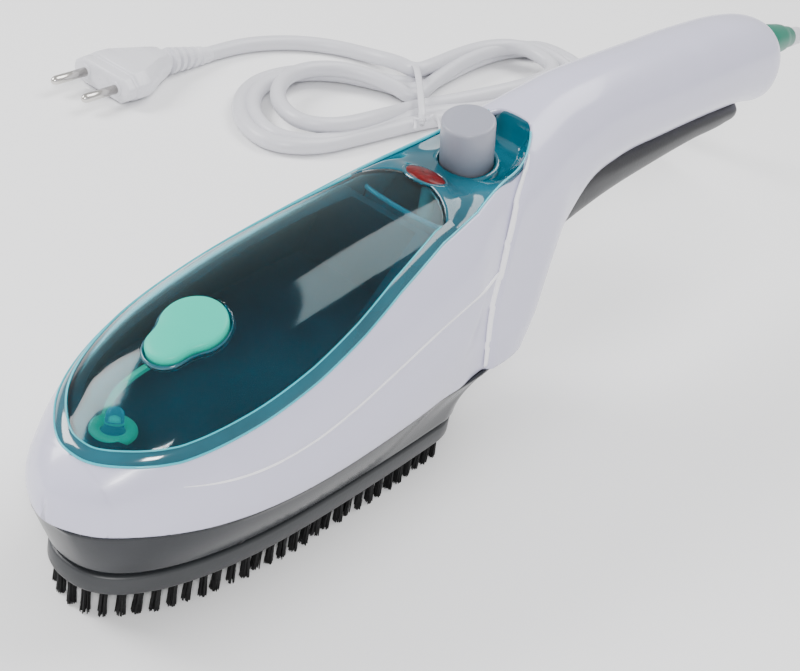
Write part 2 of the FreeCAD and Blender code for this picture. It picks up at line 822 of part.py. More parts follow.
def rectangle_body(name, length, width, corner, height):
    """PartDesign body with one padded rectangle whose sizes are bound to expressions."""
    body = doc.addObject("PartDesign::Body", name)
    sketch = body.newObject("Sketcher::SketchObject", name + "_outline")
    plane = [item for item in body.Origin.OriginFeatures if item.Role == "XY_Plane"][0]
    sketch.AttachmentSupport = [(plane, "")]
    sketch.MapMode = "FlatFace"
    corners = [Vector(0, 0, 0), Vector(10, 0, 0), Vector(10, 10, 0), Vector(0, 10, 0)]
    for a, b in zip(corners, corners[1:] + corners[:1]):
        sketch.addGeometry(Part.LineSegment(a, b), False)
    for k in range(4):
        sketch.addConstraint(Sketcher.Constraint("Coincident", k, 2, (k + 1) % 4, 1))
    for k, kind in enumerate(("Horizontal", "Vertical", "Horizontal", "Vertical")):
        sketch.addConstraint(Sketcher.Constraint(kind, k))
    sketch.addConstraint(Sketcher.Constraint("Coincident", 0, 1, -1, 1))
    across = sketch.addConstraint(Sketcher.Constraint("DistanceX", 0, 1, 0, 2, 10))
    along = sketch.addConstraint(Sketcher.Constraint("DistanceY", 1, 1, 1, 2, 10))
    sketch.setExpression("Constraints[%d]" % across, length)
    sketch.setExpression("Constraints[%d]" % along, width)
    pad = body.newObject("PartDesign::Pad", name + "_pad")
    pad.Profile = sketch
    pad.setExpression("Length", height)
    body.Placement = Placement(corner, Rotation())
    return body


clamp_station = 318.0
clamp = rectangle_body("cord_clamp_body", "8", "16", Vector(clamp_station, -8, 98.4), "3")
finish(clamp, "cord_clamp")
terminal = rectangle_body("terminal_block_body", "24", "13", Vector(262, -6.5, 88.0), "9")
finish(terminal, "terminal_block")


def inner_lead():
    """Sheathed end of the cord inside the handle, from the bushing to the terminal block."""
    axis = bushing_axis()
    route = [bushing_point(0) + axis * 20, bushing_point(0) - axis * 8,
             Vector(308, 0, 94.4), Vector(286, 0, 92.5)]
    return rounded_tube(route, dim("cord_diameter") / 2 - 0.1)


feature("inner_lead", inner_lead())


# ------------------------------------------------------------- fasteners

def screw(head_at, direction, length=None):
    """Pan-head screw whose head rests at head_at and whose shank runs along direction."""
    head = Part.makeCylinder(dim("screw_head_radius"), dim("screw_head_height"), head_at,
                             -direction)
    shank = Part.makeCylinder(dim("screw_radius") - 0.02, length or dim("screw_length"), head_at,
                              direction)
    return head.fuse(shank)


up, down = Vector(0, 0, 1), Vector(0, 0, -1)


def screw_group(label, places, direction, length=None):
    """Identical screws as one node of separate solids."""
    feature(label, Part.makeCompound([screw(Vector(*at), direction, length) for at in places]))


head_level = dim("skirt_foot") + 2.4
screw_group("housing_screws", [(x, side, head_level) for x in SCREW_STATIONS
                               for side in (-SCREW_SIDE, SCREW_SIDE)], up, 21.0)
screw_group("grip_screws", [(x, 0, GRIP_SCREW_LEVEL) for x in GRIP_SCREW_STATIONS], up, 9.0)
screw_group("boiler_screws", [(x, 0, dim("block_top")) for x in BOILER_SCREW_STATIONS], down, 14.6)


# ------------------------------------------------------------------ cord

# Route of the free cord from the bushing's tip to the tied hank, in the model's frame.
LEAD_ROUTE = [
    (190.0, 0.0, 87.5), (203.5, 0.6, 85.4), (214.5, 8.0, 78.2), (220.0, 22.0, 66.0),
    (221.5, 38.0, 50.0), (223.0, 55.0, 32.5), (229.0, 74.0, 16.5), (240.0, 94.0, 6.5),
    (252.0, 112.0, 3.8),
]
# Route from the hank to the plug's strain relief, in the model's frame.
PLUG_ROUTE = [
    (164.0, 157.0, 10.6), (170.0, 172.0, 7.4), (169.5, 187.0, 4.4), (163.5, 202.5, 3.6),
    (151.0, 215.5, 3.6), (134.0, 224.5, 3.6), (117.0, 228.5, 3.6), (101.0, 228.5, 3.6),
]
# Outline on the floor of the tied hank: its tie is between the two lobes.
HANK_OUTLINE = [
    (134.0, 127.5), (162.0, 120.0), (194.0, 113.5), (228.0, 109.5), (256.0, 114.5),
    (270.0, 133.0), (266.0, 151.0), (246.0, 161.0), (216.0, 164.0), (190.0, 162.0),
    (166.0, 161.0), (155.0, 177.0), (141.0, 192.0), (121.0, 201.5), (97.0, 201.5),
    (77.0, 191.0), (61.5, 172.0), (58.5, 152.0), (75.0, 136.5), (102.0, 131.5),
]
HANK_HEIGHT = 15.0
TIE_CENTRE = (150.0, 144.0)
TIE_ANGLE = 45.0
TIE_SPAN = 47.0

feature("cord_lead", rounded_tube(LEAD_ROUTE, dim("cord_diameter") / 2), shifted=False)
feature("plug_lead", rounded_tube(PLUG_ROUTE, dim("cord_diameter") / 2), shifted=False)
hank_wire = closed_curve([Vector(x, y, 0) for x, y in HANK_OUTLINE])
feature("cord_hank", slab(hank_wire, HANK_HEIGHT), shifted=False)


def cord_tie():
    """Band round the waist of the hank."""
    width, span, wall = dim("tie_width"), TIE_SPAN, dim("tie_thickness")
    height = HANK_HEIGHT + 1.2
    band = Part.makeBox(width, span, height, Vector(-width / 2, -span / 2, 0))
    band = band.cut(Part.makeBox(width + 2, span - 2 * wall, height - 2 * wall,
                                 Vector(-width / 2 - 1, -span / 2 + wall, wall)))
    band.Placement = Placement(Vector(TIE_CENTRE[0], TIE_CENTRE[1], 0),
                               Rotation(Vector(0, 0, 1), TIE_ANGLE - 90))
    return band


feature("cord_tie", cord_tie(), shifted=False)

# Plug: X points along the pins, with its zero at the face they stand on.
relief_root = Vector(*PLUG_ROUTE[-1])
plug_heading = relief_root - Vector(*PLUG_ROUTE[-2])
plug_heading.z = 0
plug_heading.normalize()
plug_rise = dim("plug_thickness") / 2 + 0.1
plug_back = relief_root + plug_heading * dim("relief_length")
plug_back.z = plug_rise
plug_turn = Rotation(Vector(1, 0, 0), plug_heading)
plug_place = Placement(plug_back + plug_heading * dim("plug_length"), plug_turn)

# Distance behind the pin face, half width, half thickness of the plug's body.
PLUG_SECTIONS = [(0.0, 16.8, 6.4), (1.2, 17.7, 6.8), (15.0, 17.7, 6.8), (29.0, 9.5, 6.6),
                 (36.0, 6.2, 5.9)]


def plug_body():
    rings = []
    for back, half, thick in PLUG_SECTIONS:
        ring = []
        for k in range(RING_POINTS):
            c, s = superellipse(2 * pi * (k + 0.5) / RING_POINTS, 5.0)
            ring.append(Vector(-back, half * c, thick * s))
        rings.append(closed_curve(ring))
    solid = Part.makeLoft(rings, True, True)
    solid.Placement = plug_place
    return solid


def plug_pins():
    radius = dim("pin_diameter") / 2
    pins = []
    for side in (-dim("pin_spacing") / 2, dim("pin_spacing") / 2):
        shaft = Part.makeCylinder(radius, dim("pin_length") - radius, Vector(0, side, 0),
                                  Vector(1, 0, 0))
        tip = Part.makeSphere(radius, Vector(dim("pin_length") - radius, side, 0))
        pins.append(shaft.fuse(tip))
    group = Part.makeCompound(pins)
    group.Placement = plug_place
    return group


def plug_relief():
    axis = plug_back - relief_root
    return Part.makeCone(dim("cord_diameter") / 2 + 0.05, 5.4, axis.Length, relief_root, axis)


feature("plug_body", plug_body(), shifted=False)
feature("plug_pins", plug_pins(), shifted=False)
feature("plug_relief", plug_relief(), shifted=False)


# Route of the two heater leads from the terminal block to the element, for the far side.
HEATER_LEAD = [(261.95, 3.2, 91.0), (250.0, 5.0, 90.4), (232.0, 8.0, 86.5), (212.0, 10.0, 80.5),
               (196.0, 10.5, 70.0), (180.0, 10.5, 57.0), (164.0, 10.5, 46.0),
               (149.0, 10.2, 37.0), (137.0, 10.0, 31.9), (124.1, 10.0, 31.7)]
heater_leads = [rounded_tube([(x, side * y, z) for x, y, z in HEATER_LEAD], 1.2)
                for side in (-1, 1)]
feature("heater_leads", Part.makeCompound(heater_leads))

doc.recompute()

# ------------------------------------------------------------ check, write

for item in doc.Objects:
    if "Invalid" in item.State or "Error" in item.State:
        raise RuntimeError("%s failed: %s" % (item.Name, item.State))
os.makedirs("parts", exist_ok=True)
for piece in finished:
    if piece.Shape.isNull() or not piece.Shape.isValid():
        raise RuntimeError("%s has no valid shape" % piece.Label)
    piece.Shape.exportStep("parts/%s.step" % piece.Label)
    box_ = piece.Shape.BoundBox
    print("%-18s solids %2d  x %.1f..%.1f  y %.1f..%.1f  z %.1f..%.1f"
          % (piece.Label, len(piece.Shape.Solids), box_.XMin, box_.XMax, box_.YMin, box_.YMax,
             box_.ZMin, box_.ZMax))
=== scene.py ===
import random
from math import copysign, cos, hypot, pi, radians, sin, sqrt

import bmesh
import bpy
import numpy as np
from mathutils import Matrix, Vector


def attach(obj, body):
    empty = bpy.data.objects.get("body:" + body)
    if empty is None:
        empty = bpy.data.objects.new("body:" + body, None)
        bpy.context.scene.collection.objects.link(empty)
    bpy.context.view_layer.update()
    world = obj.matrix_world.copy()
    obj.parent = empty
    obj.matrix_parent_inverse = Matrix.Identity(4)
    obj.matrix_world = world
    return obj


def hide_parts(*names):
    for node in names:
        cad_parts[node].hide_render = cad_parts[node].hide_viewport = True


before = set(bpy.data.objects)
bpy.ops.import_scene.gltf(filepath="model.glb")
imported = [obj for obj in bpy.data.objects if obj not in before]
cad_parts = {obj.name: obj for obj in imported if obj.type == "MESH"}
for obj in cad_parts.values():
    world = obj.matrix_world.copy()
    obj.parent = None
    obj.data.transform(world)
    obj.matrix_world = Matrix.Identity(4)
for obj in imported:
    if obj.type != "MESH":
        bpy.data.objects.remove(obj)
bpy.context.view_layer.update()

# Visual model of the handheld steam brush. Shapes are worked out in millimetres along stations:
# station 0 is the nose of the brush, and MID_STATION is where the row frame has its origin.

MM = 0.001
MID_STATION = 180.3
WELD = 0.02 * MM  # points of two mirrored halves that are this close become one
SHELL_WALL, DOME_WALL, DECK_WALL, BULKHEAD_WALL = 2.0, 1.9, 1.6, 1.2
rng = random.Random(7)


def to_frame(x, y, z):
    """A point given by its station, side and height in millimetres, in the row frame."""
    return Vector(((x - MID_STATION) * MM, y * MM, z * MM))


# ------------------------ materials

def material(name, colour, rough, spread=0.03, rough_spread=0.06, scale=60.0, bump=0.04,
             bump_scale=900.0, **plain):
    """Procedural material: cloudy colour and roughness, fine bump, plain values elsewhere."""
    mat = bpy.data.materials.new(name)
    mat.use_nodes = True
    tree = mat.node_tree
    shader = tree.nodes["Principled BSDF"]
    coords = tree.nodes.new("ShaderNodeTexCoord")

    def noise(size, detail):
        node = tree.nodes.new("ShaderNodeTexNoise")
        node.inputs["Scale"].default_value = size
        node.inputs["Detail"].default_value = detail
        tree.links.new(coords.outputs["Object"], node.inputs["Vector"])
        return node

    cloud = noise(scale, 4.0)
    ramp = tree.nodes.new("ShaderNodeValToRGB")
    for stop, factor in zip(ramp.color_ramp.elements, (1 - spread, 1 + spread)):
        stop.color = [min(1.0, c * factor) for c in colour] + [1.0]
    ramp.color_ramp.elements[0].position = 0.3
    ramp.color_ramp.elements[1].position = 0.7
    tree.links.new(cloud.outputs["Fac"], ramp.inputs["Fac"])
    tree.links.new(ramp.outputs["Color"], shader.inputs["Base Color"])
    spans = tree.nodes.new("ShaderNodeMapRange")
    spans.inputs["To Min"].default_value = max(0.0, rough - rough_spread)
    spans.inputs["To Max"].default_value = rough + rough_spread
    tree.links.new(cloud.outputs["Fac"], spans.inputs["Value"])
    tree.links.new(spans.outputs["Result"], shader.inputs["Roughness"])
    if bump:
        grain = noise(bump_scale, 2.0)
        lift = tree.nodes.new("ShaderNodeBump")
        lift.inputs["Strength"].default_value = bump
        lift.inputs["Distance"].default_value = 0.0004
        tree.links.new(grain.outputs["Fac"], lift.inputs["Height"])
        tree.links.new(lift.outputs["Normal"], shader.inputs["Normal"])
    for key, value in plain.items():
        shader.inputs[key.replace("_", " ")].default_value = value
    return mat


def clear(name, colour, rough, **plain):
    """Material that light passes through."""
    return material(name, colour, rough, spread=0.04, rough_spread=0.02, bump=0.0,
                    Transmission_Weight=1.0, **plain)


WHITE = material("white_gloss_plastic", (0.56, 0.55, 0.70), 0.24, spread=0.012, bump=0.02,
                 Coat_Weight=0.3, Coat_Roughness=0.1)
SKIRT = material("dark_gloss_plastic", (0.012, 0.014, 0.018), 0.2, bump=0.02,
                 Specular_IOR_Level=0.32)
FRAME = material("grey_satin_plastic", (0.024, 0.026, 0.029), 0.42, spread=0.08, bump=0.12)
BRISTLE = material("black_bristle", (0.004, 0.004, 0.0045), 0.5, spread=0.3, bump=0.0,
                   Specular_IOR_Level=0.25)
DOME = clear("teal_clear_plastic", (0.16, 0.56, 0.65), 0.07, IOR=1.30)
FLANGE = material("teal_flange_plastic", (0.003, 0.14, 0.20), 0.12, spread=0.2, bump=0.0,
                  rough_spread=0.03, Transmission_Weight=0.4, Coat_Weight=0.6,
                  Coat_Roughness=0.04)
# Light teal that glows: a painted highlight for the bright lines along the tank's rim and the
# bulkhead's top edge.
PAINTED_HIGHLIGHT_TEAL = material("teal_edge_painted_highlight", (0.04, 0.48, 0.58), 0.15, spread=0.15, bump=0.0,
                rough_spread=0.03, Transmission_Weight=0.2, Coat_Weight=0.5,
                Emission_Color=(0.03, 0.4, 0.5, 1.0), Emission_Strength=0.15)
WALL = material("teal_wall_plastic", (0.03, 0.32, 0.40), 0.15, spread=0.15, bump=0.0,
                Transmission_Weight=0.5)
DECK = material("teal_deck_plastic", (0.004, 0.13, 0.19), 0.1, spread=0.25, rough_spread=0.03,
                bump=0.0, Transmission_Weight=0.3, Coat_Weight=0.25, Coat_Roughness=0.03)
INNER = material("tank_inside_plastic", (0.040, 0.062, 0.085), 0.3, spread=0.2, bump=0.0,
                 Coat_Weight=0.3)
# The mint rubber glows a little: painted light that brightens the cap and its bung.
MINT_PAINTED_GLOW = material("mint_rubber", (0.0, 0.42, 0.30), 0.42, spread=0.03, bump=0.06, scale=40.0,
                Sheen_Weight=0.05, Specular_IOR_Level=0.3,
                Emission_Color=(0.0, 0.50, 0.38, 1.0), Emission_Strength=0.3)
GREEN = material("green_rubber", (0.0, 0.15, 0.095), 0.34, spread=0.05, bump=0.06,
                 Specular_IOR_Level=0.3)
# The strap rubber glows: painted light that brightens the ring seal and the tether strap.
STRAP_PAINTED_GLOW = material("strap_rubber_painted_glow", (0.0, 0.45, 0.28), 0.4, spread=0.05, bump=0.03,
                 Emission_Color=(0.0, 0.5, 0.3, 1.0), Emission_Strength=0.5)
# The clear post glows cyan: painted light.
POST_PAINTED_GLOW = clear("clear_post_painted_glow", (0.75, 0.95, 1.0), 0.12, IOR=1.25,
             Emission_Color=(0.02, 0.35, 0.45, 1.0), Emission_Strength=0.25)
LENS = material("red_lens_plastic", (0.11, 0.0, 0.001), 0.3, spread=0.4, scale=700.0,
                bump=0.5, bump_scale=420.0, Specular_IOR_Level=0.3)
BUTTON = material("button_grey_plastic", (0.27, 0.275, 0.33), 0.35, spread=0.02, bump=0.05)
GRIP = material("grip_grey_plastic", (0.035, 0.035, 0.038), 0.4, spread=0.08, bump=0.2,
                bump_scale=1500.0)
CORD = material("white_cord_sheath", (0.60, 0.60, 0.64), 0.34, spread=0.02, bump=0.05)
PLUG = material("white_plug_plastic", (0.66, 0.66, 0.70), 0.28, spread=0.015, bump=0.06)
PIN = material("nickel_plate", (0.62, 0.60, 0.57), 0.2, spread=0.06, scale=300.0, bump=0.03,
               Metallic=1.0)
STEEL = material("plated_steel", (0.6, 0.6, 0.61), 0.3, spread=0.05, scale=300.0, Metallic=1.0)
BLACKED = material("blacked_steel", (0.03, 0.03, 0.032), 0.4, spread=0.1, scale=300.0,
                   Metallic=1.0)
ALUMINIUM = material("cast_aluminium", (0.70, 0.71, 0.72), 0.38, spread=0.06, scale=200.0,
                     bump=0.2, Metallic=1.0)
SHEATH = material("heater_sheath", (0.30, 0.29, 0.28), 0.45, spread=0.15, Metallic=1.0)
NATURAL = material("natural_plastic", (0.74, 0.74, 0.71), 0.45, spread=0.03)
SILICONE = material("silicone_tube", (0.76, 0.76, 0.72), 0.35, spread=0.03,
                    Subsurface_Weight=0.1)
FLOOR = material("pale_floor", (0.93, 0.93, 0.935), 0.6, spread=0.004, rough_spread=0.02,
                 scale=3.0, bump=0.0)

NODE_MATERIALS = {
    "soleplate": ALUMINIUM, "boiler_block": ALUMINIUM, "heating_element": SHEATH,
    "thermostat": STEEL, "thermal_fuse": STEEL, "heat_shield": STEEL, "tank_base": INNER,
    "indicator_lamp": NATURAL, "pump_cylinder": NATURAL, "pump_plunger": NATURAL,
    "pump_spring": STEEL, "steam_tube": SILICONE, "suction_tube": SILICONE,
    "cord_clamp": NATURAL, "terminal_block": NATURAL, "inner_lead": CORD,
    "heater_leads": SILICONE, "housing_screws": BLACKED, "grip_screws": STEEL,
    "boiler_screws": STEEL,
}
for node_name, finish in NODE_MATERIALS.items():
    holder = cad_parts[node_name].data
    if not holder.materials:
        holder.materials.append(finish)
    for index in range(len(holder.materials)):
        holder.materials[index] = finish


# ------------------------ mesh tools

link = bpy.context.scene.collection.objects.link


def visual(name, data, mat, body, replaced):
    """A visual object that rides on a CAD body and stands for CAD nodes."""
    obj = bpy.data.objects.new(name, data)
    link(obj)
    data.name = name
    data.materials.append(mat)
    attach(obj, body)
    if replaced:
        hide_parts(*replaced)
    return obj


def set_smooth(mesh):
    """Shade all of a mesh's faces smoothly."""
    mesh.polygons.foreach_set("use_smooth", [True] * len(mesh.polygons))


def piece(name, mesh, mat, body, slot, *replaced, smooth=True):
    """A finished visual piece from a mesh."""
    if smooth:
        set_smooth(mesh)
    return visual(name, mesh, mat, body, replaced)


def around(count):
    """Angles at equal steps round a full turn."""
    return np.linspace(0, 2 * pi, count, endpoint=False)


def compass(turn):
    """Direction in the plan at an angle."""
    return Vector((cos(turn), sin(turn), 0))


def grid_faces(rows, columns, closed=False, looped=False, flip=False):
    """Quads of a grid: closed joins the ends of each row, looped the last row to the first."""
    faces = []
    for i in range(rows if looped else rows - 1):
        n = (i + 1) % rows
        for j in range(columns if closed else columns - 1):
            k = (j + 1) % columns
            quad = (i * columns + j, i * columns + k, n * columns + k, n * columns + j)
            faces.append(quad[::-1] if flip else quad)
    return faces


def mesh_from(points, faces, merge=0.0):
    """Mesh with outward normals; points closer together than merge become one."""
    mesh = bpy.data.meshes.new("mesh")
    mesh.from_pydata([tuple(p) for p in points], [], faces)
    work = bmesh.new()
    work.from_mesh(mesh)
    if merge:
        bmesh.ops.remove_doubles(work, verts=work.verts, dist=merge)
    bmesh.ops.dissolve_degenerate(work, dist=1e-7, edges=work.edges)
    bmesh.ops.recalc_face_normals(work, faces=work.faces)
    work.to_mesh(mesh)
    work.free()
    return mesh


def loft(rings, cap_start=True, cap_end=True):
    """Closed rings of equal count joined in order, their ends closed."""
    count = len(rings[0])
    points = [p for ring in rings for p in ring]
    faces = grid_faces(len(rings), count, closed=True)
    if cap_start:
        faces.append(tuple(range(count))[::-1])
    if cap_end:
        start = (len(rings) - 1) * count
        faces.append(tuple(range(start, start + count)))
    return mesh_from(points, faces)


def ring_loft(rings):
    """Closed rings joined in order, the last one to the first."""
    points = [p for ring in rings for p in ring]
    return mesh_from(points,
                     grid_faces(len(rings), len(rings[0]), closed=True, looped=True))


def mirrored(points, rows, columns):
    """Both halves of a symmetric surface, from the grid (x, y, z) of one half."""
    right = [to_frame(x, -y, z) for x, y, z in points]
    left = [to_frame(x, y, z) for x, y, z in points]
    faces = grid_faces(rows, columns)
    faces += [tuple(i + len(points) for i in f) for f in grid_faces(rows, columns, flip=True)]
    return mesh_from(right + left, faces, merge=WELD)


def revolve(profile, origin, axis, count=48):
    """Profile of (along, radius) in millimetres turned round an axis in the row frame."""
    axis = Vector(axis).normalized()
    side = axis.orthogonal().normalized()
    other = axis.cross(side)
    rings = []
    for along, radius in profile:
        radius = max(radius, 0.02)
        rings.append([Vector(origin) + axis * along * MM
                      + (side * cos(2 * pi * k / count)
                         + other * sin(2 * pi * k / count)) * radius * MM
                      for k in range(count)])
    return loft(rings)


def apply_modifiers(obj):
    """Bake an object's modifiers into its mesh."""
    graph = bpy.context.evaluated_depsgraph_get()
    baked = bpy.data.meshes.new_from_object(obj.evaluated_get(graph))
    obj.modifiers.clear()
    obj.data = baked


def solidify(obj, thickness):
    """Give a surface a wall, in millimetres, on its inner side."""
    shell = obj.modifiers.new("wall", "SOLIDIFY")
    shell.thickness = thickness * MM
    shell.offset = -1.0
    apply_modifiers(obj)


def cut_with(obj, mesh):
    """Subtract a closed mesh from an object."""
    tool = bpy.data.objects.new("cutter", mesh)
    link(tool)
    knife = obj.modifiers.new("cut", "BOOLEAN")
    knife.operation = "DIFFERENCE"
    knife.solver = "EXACT"
    knife.object = tool
    bpy.context.view_layer.update()
    apply_modifiers(obj)
    bpy.data.objects.remove(tool)


def smoothstep(low, high, value):
    """0 before low and 1 after high, with a smooth rise between them."""
    share = np.clip((value - low) / (high - low), 0.0, 1.0)
    return share * share * (3 - 2 * share)


# ------------------------ body surface

# Station, half width, lowest point, height of the widest point, highest point, exponent.
BODY_SECTIONS = [
    (-10.4, 1.6, 35, 41, 46, 2.1), (-8.6, 8.0, 33, 41, 49, 2.2), (-4.5, 14.5, 30, 41, 53, 2.25),
    (3.0, 20.5, 26, 41, 58.5, 2.3), (12.0, 26.0, 24, 41, 65.5, 2.3),
    (24.0, 31.0, 22, 41, 73.0, 2.3), (40.0, 34.7, 20, 42, 80.0, 2.3),
    (62.0, 36.4, 20, 43, 86.3, 2.3), (88.0, 36.0, 20, 45, 91.0, 2.35),
    (112.0, 34.2, 20, 47, 94.0, 2.5), (132.0, 31.4, 20, 50, 96.0, 2.8),
    (150.0, 27.6, 22, 54, 98.5, 3.0), (165.0, 24.6, 28, 60, 101.0, 3.0),
    (180.0, 21.8, 38, 70, 105.0, 2.8), (193.0, 19.2, 52, 80, 108.5, 2.5),
    (208.0, 17.6, 68, 90, 110.5, 2.3), (228.0, 17.0, 75, 92, 111.0, 2.2),
    (258.0, 17.0, 76, 92, 110.3, 2.2), (290.0, 17.0, 75.5, 91.5, 109.2, 2.2),
    (318.0, 16.5, 73.5, 89.5, 107.0, 2.2), (335.0, 15.5, 70, 87, 103.5, 2.2),
    (345.0, 13.0, 68.5, 85, 99.5, 2.2),
]
# Height, centre station, half length and half width of the neck's rounded plan.
NECK_SECTIONS = [
    (24.0, 143.0, 33.0, 30.5), (37.0, 145.0, 34.0, 31.5), (46.5, 150.0, 34.0, 30.6),
    (55.0, 155.0, 33.0, 28.6), (64.0, 160.0, 32.0, 26.6), (74.0, 166.0, 30.5, 23.6),
    (86.0, 172.0, 27.0, 19.6), (97.0, 178.0, 22.0, 14.5),
]
NOSE, TAIL = -10.45, 339.5
TIP_ROUND = 4.5
BORDER = 36.5  # height of the shell's lower edge
BLEND = 3.0  # width of the soft join between pod and neck


def spline(knots, values, at):
    """Cubic Hermite curve through the knots with finite-difference slopes."""
    knots, values, at = (np.asarray(a, float) for a in (knots, values, at))
    steps = np.diff(values) / np.diff(knots)
    slopes = np.empty_like(values)
    slopes[0], slopes[-1] = steps[0], steps[-1]
    slopes[1:-1] = (steps[:-1] + steps[1:]) / 2
    i = np.clip(np.searchsorted(knots, at) - 1, 0, len(knots) - 2)
    h = knots[i + 1] - knots[i]
    t = np.clip((at - knots[i]) / h, 0.0, 1.0)
    return ((2 * t ** 3 - 3 * t ** 2 + 1) * values[i] + (t ** 3 - 2 * t ** 2 + t) * h * slopes[i]
            + (3 * t ** 2 - 2 * t ** 3) * values[i + 1] + (t ** 3 - t ** 2) * h * slopes[i + 1])


body_table = np.array(BODY_SECTIONS)
body_knots = np.sqrt(body_table[:, 0] - NOSE)
neck_table = np.array(NECK_SECTIONS)


def section(station):
    """Half width, lowest, widest, highest and exponent at a station."""
    t = sqrt(max(station - NOSE, body_knots[0] ** 2))
    return [float(spline(body_knots, body_table[:, k], t)) for k in range(1, 6)]


def outline(station, count=120, inset=0.0):
    """Right-hand half of the cross-section, from the top to the bottom: arrays y and z."""
    half, low, wide, high, power = section(station)
    half, low, high = half - inset, low + inset, high - inset
    middle = wide if station < 60 else (low + high) / 2
    angles = np.linspace(pi / 2, -pi / 2, count)
    dy, dz = np.cos(angles), np.sin(angles)
    near, far = np.zeros(count), np.full(count, 120.0)

    def outside(radius):
        y, z = dy * radius, middle + dz * radius
        rise = np.where(z > wide, high - wide, wide - low)
        pod = (np.abs(y / half) ** power + np.abs((z - wide) / rise) ** power) ** (1 / power)
        pod = (pod - 1) * min(half, 20.0)
        centre, length, width = (np.interp(z, neck_table[:, 0], neck_table[:, k])
                                 for k in (1, 2, 3))
        neck = (np.abs((station - centre) / (length - inset)) ** 3
                + np.abs(y / (width - inset)) ** 3) ** (1 / 3)
        neck = (neck - 1) * 20.0
        neck += 5 * np.maximum(z - 86.0, 0.0) + np.maximum(24.0 - z, 0.0)
        blend = np.clip(0.5 + 0.5 * (neck - pod) / BLEND, 0, 1)
        return neck * (1 - blend) + pod * blend - BLEND * blend * (1 - blend)

    for _ in range(26):
        mid = (near + far) / 2
        out = outside(mid) > 0
        far = np.where(out, mid, far)
        near = np.where(out, near, mid)
    return dy * near, middle + dz * near


def resample(y, z, count, start=0.0):
    """Points at equal distances along a line, from a share of its samples on."""
    index = np.arange(len(y))
    steps = np.hypot(np.diff(y), np.diff(z))
    length = np.concatenate([[0.0], np.cumsum(steps)])
    begin = np.interp(start, index, length)
    targets = np.linspace(begin, length[-1], count)
    return np.interp(targets, length, y), np.interp(targets, length, z)


# Where the clear tank meets the white shell, seen from the side, and half the opening's width
# behind that.
RIM_STATIONS = [-14, -2, 15, 32, 58, 78, 95, 118, 140]
RIM_HEIGHTS = [53.4, 54.6, 57.6, 62.4, 69.4, 75.6, 81.4, 88.0, 92.4]
WELL_STATIONS = [130, 136, 142, 151, 161, 166, 170.5, 174.5, 177]
WELL_HALVES = [20.9, 19.6, 18.2, 16.5, 15.3, 13.9, 11.7, 9.0, 6.6]
WELL_START, WELL_END, WELL_CORNER = 136, 178.4, 1.4


def rim_sample(station, y, z):
    """Index, between the samples, where the shell's edge crosses a section; 0 if it doesn't."""
    if station <= WELL_START:
        line = np.interp(station, RIM_STATIONS, RIM_HEIGHTS)
        below = np.nonzero(z < line)[0]
        if len(below) == 0 or below[0] == 0:
            return 0.0
        k = below[0]
        return k - 1 + (z[k - 1] - line) / (z[k - 1] - z[k])
    if station >= WELL_END:
        return 0.0
    half = float(spline(WELL_STATIONS, WELL_HALVES, station))
    into = max(0.0, (station - (WELL_END - WELL_CORNER)) / WELL_CORNER)
    half *= (1 - into ** 2) ** 0.5
    k = np.nonzero(y > half)[0][0]
    return max(0.0, k - 1 + (half - y[k - 1]) / (y[k] - y[k - 1]))


def tank_start():
    """Station where the shell's edge crosses the middle of the nose."""
    low, high = -8.0, 2.0
    for _ in range(30):
        mid = (low + high) / 2
        low, high = (low, mid) if rim_sample(mid, *outline(mid, 200)) else (mid, high)
    return high


TANK_START = tank_start()
SWOOSH = [(14, 51.6), (29, 50.9), (43, 51.6), (55, 53.2), (70, 56.6), (89.5, 61.6),
          (109.2, 66.0), (129.2, 68.9), (146, 70.2)]
COLLAR = [(168.5, 99.0), (164.3, 95.4), (155.8, 88.8), (149.4, 78.8), (146, 68), (143.9, 59.2),
          (143.5, 47.4), (144.3, 36.0)]


def side_distance(x, z, line, along_z=False):
    """Signed distance from a side-view line, positive above it or behind it."""
    if along_z:
        heights = [p[1] for p in line][::-1]
        stations = [p[0] for p in line][::-1]
        return (x - spline(heights, stations, z)) * 0.93
    return (z - spline([p[0] for p in line], [p[1] for p in line], x)) * 0.97


def crease_depth(x, y, z):
    """How far the shell's surface is drawn in by its styling lines."""
    gap = side_distance(x, z, SWOOSH)
    fade = smoothstep(10, 50, x) * smoothstep(148, 142, x)
    swoosh = 1.15 * fade * np.where(gap < 0, smoothstep(-16.0, -0.6, gap),
                                    smoothstep(1.5, -0.4, gap))
    behind = side_distance(x, z, COLLAR, along_z=True)
    fade = smoothstep(101.0, 95.0, z) * smoothstep(118, 138, x)
    collar = 1.9 * fade * np.where(behind < 0, smoothstep(-19.0, -1.0, behind),
                                   smoothstep(2.6, -1.0, behind))
    return np.maximum(swoosh, collar)


def shell_stations():
    """Stations of the shell's sections, closest at the nose and at the well's rear edge."""
    front = NOSE + np.linspace(0.22, sqrt(40 - NOSE), 52) ** 2
    middle = np.arange(40.8, 166, 0.85)
    well = WELL_END - 12.4 * np.linspace(1.0, 0.0, 34) ** 1.8
    tail = np.concatenate([np.arange(178.8, 190, 0.8), np.arange(191, TAIL - 5, 1.9)])
    return np.concatenate([front, middle, well[1:-1], [WELL_END + 0.02], tail])


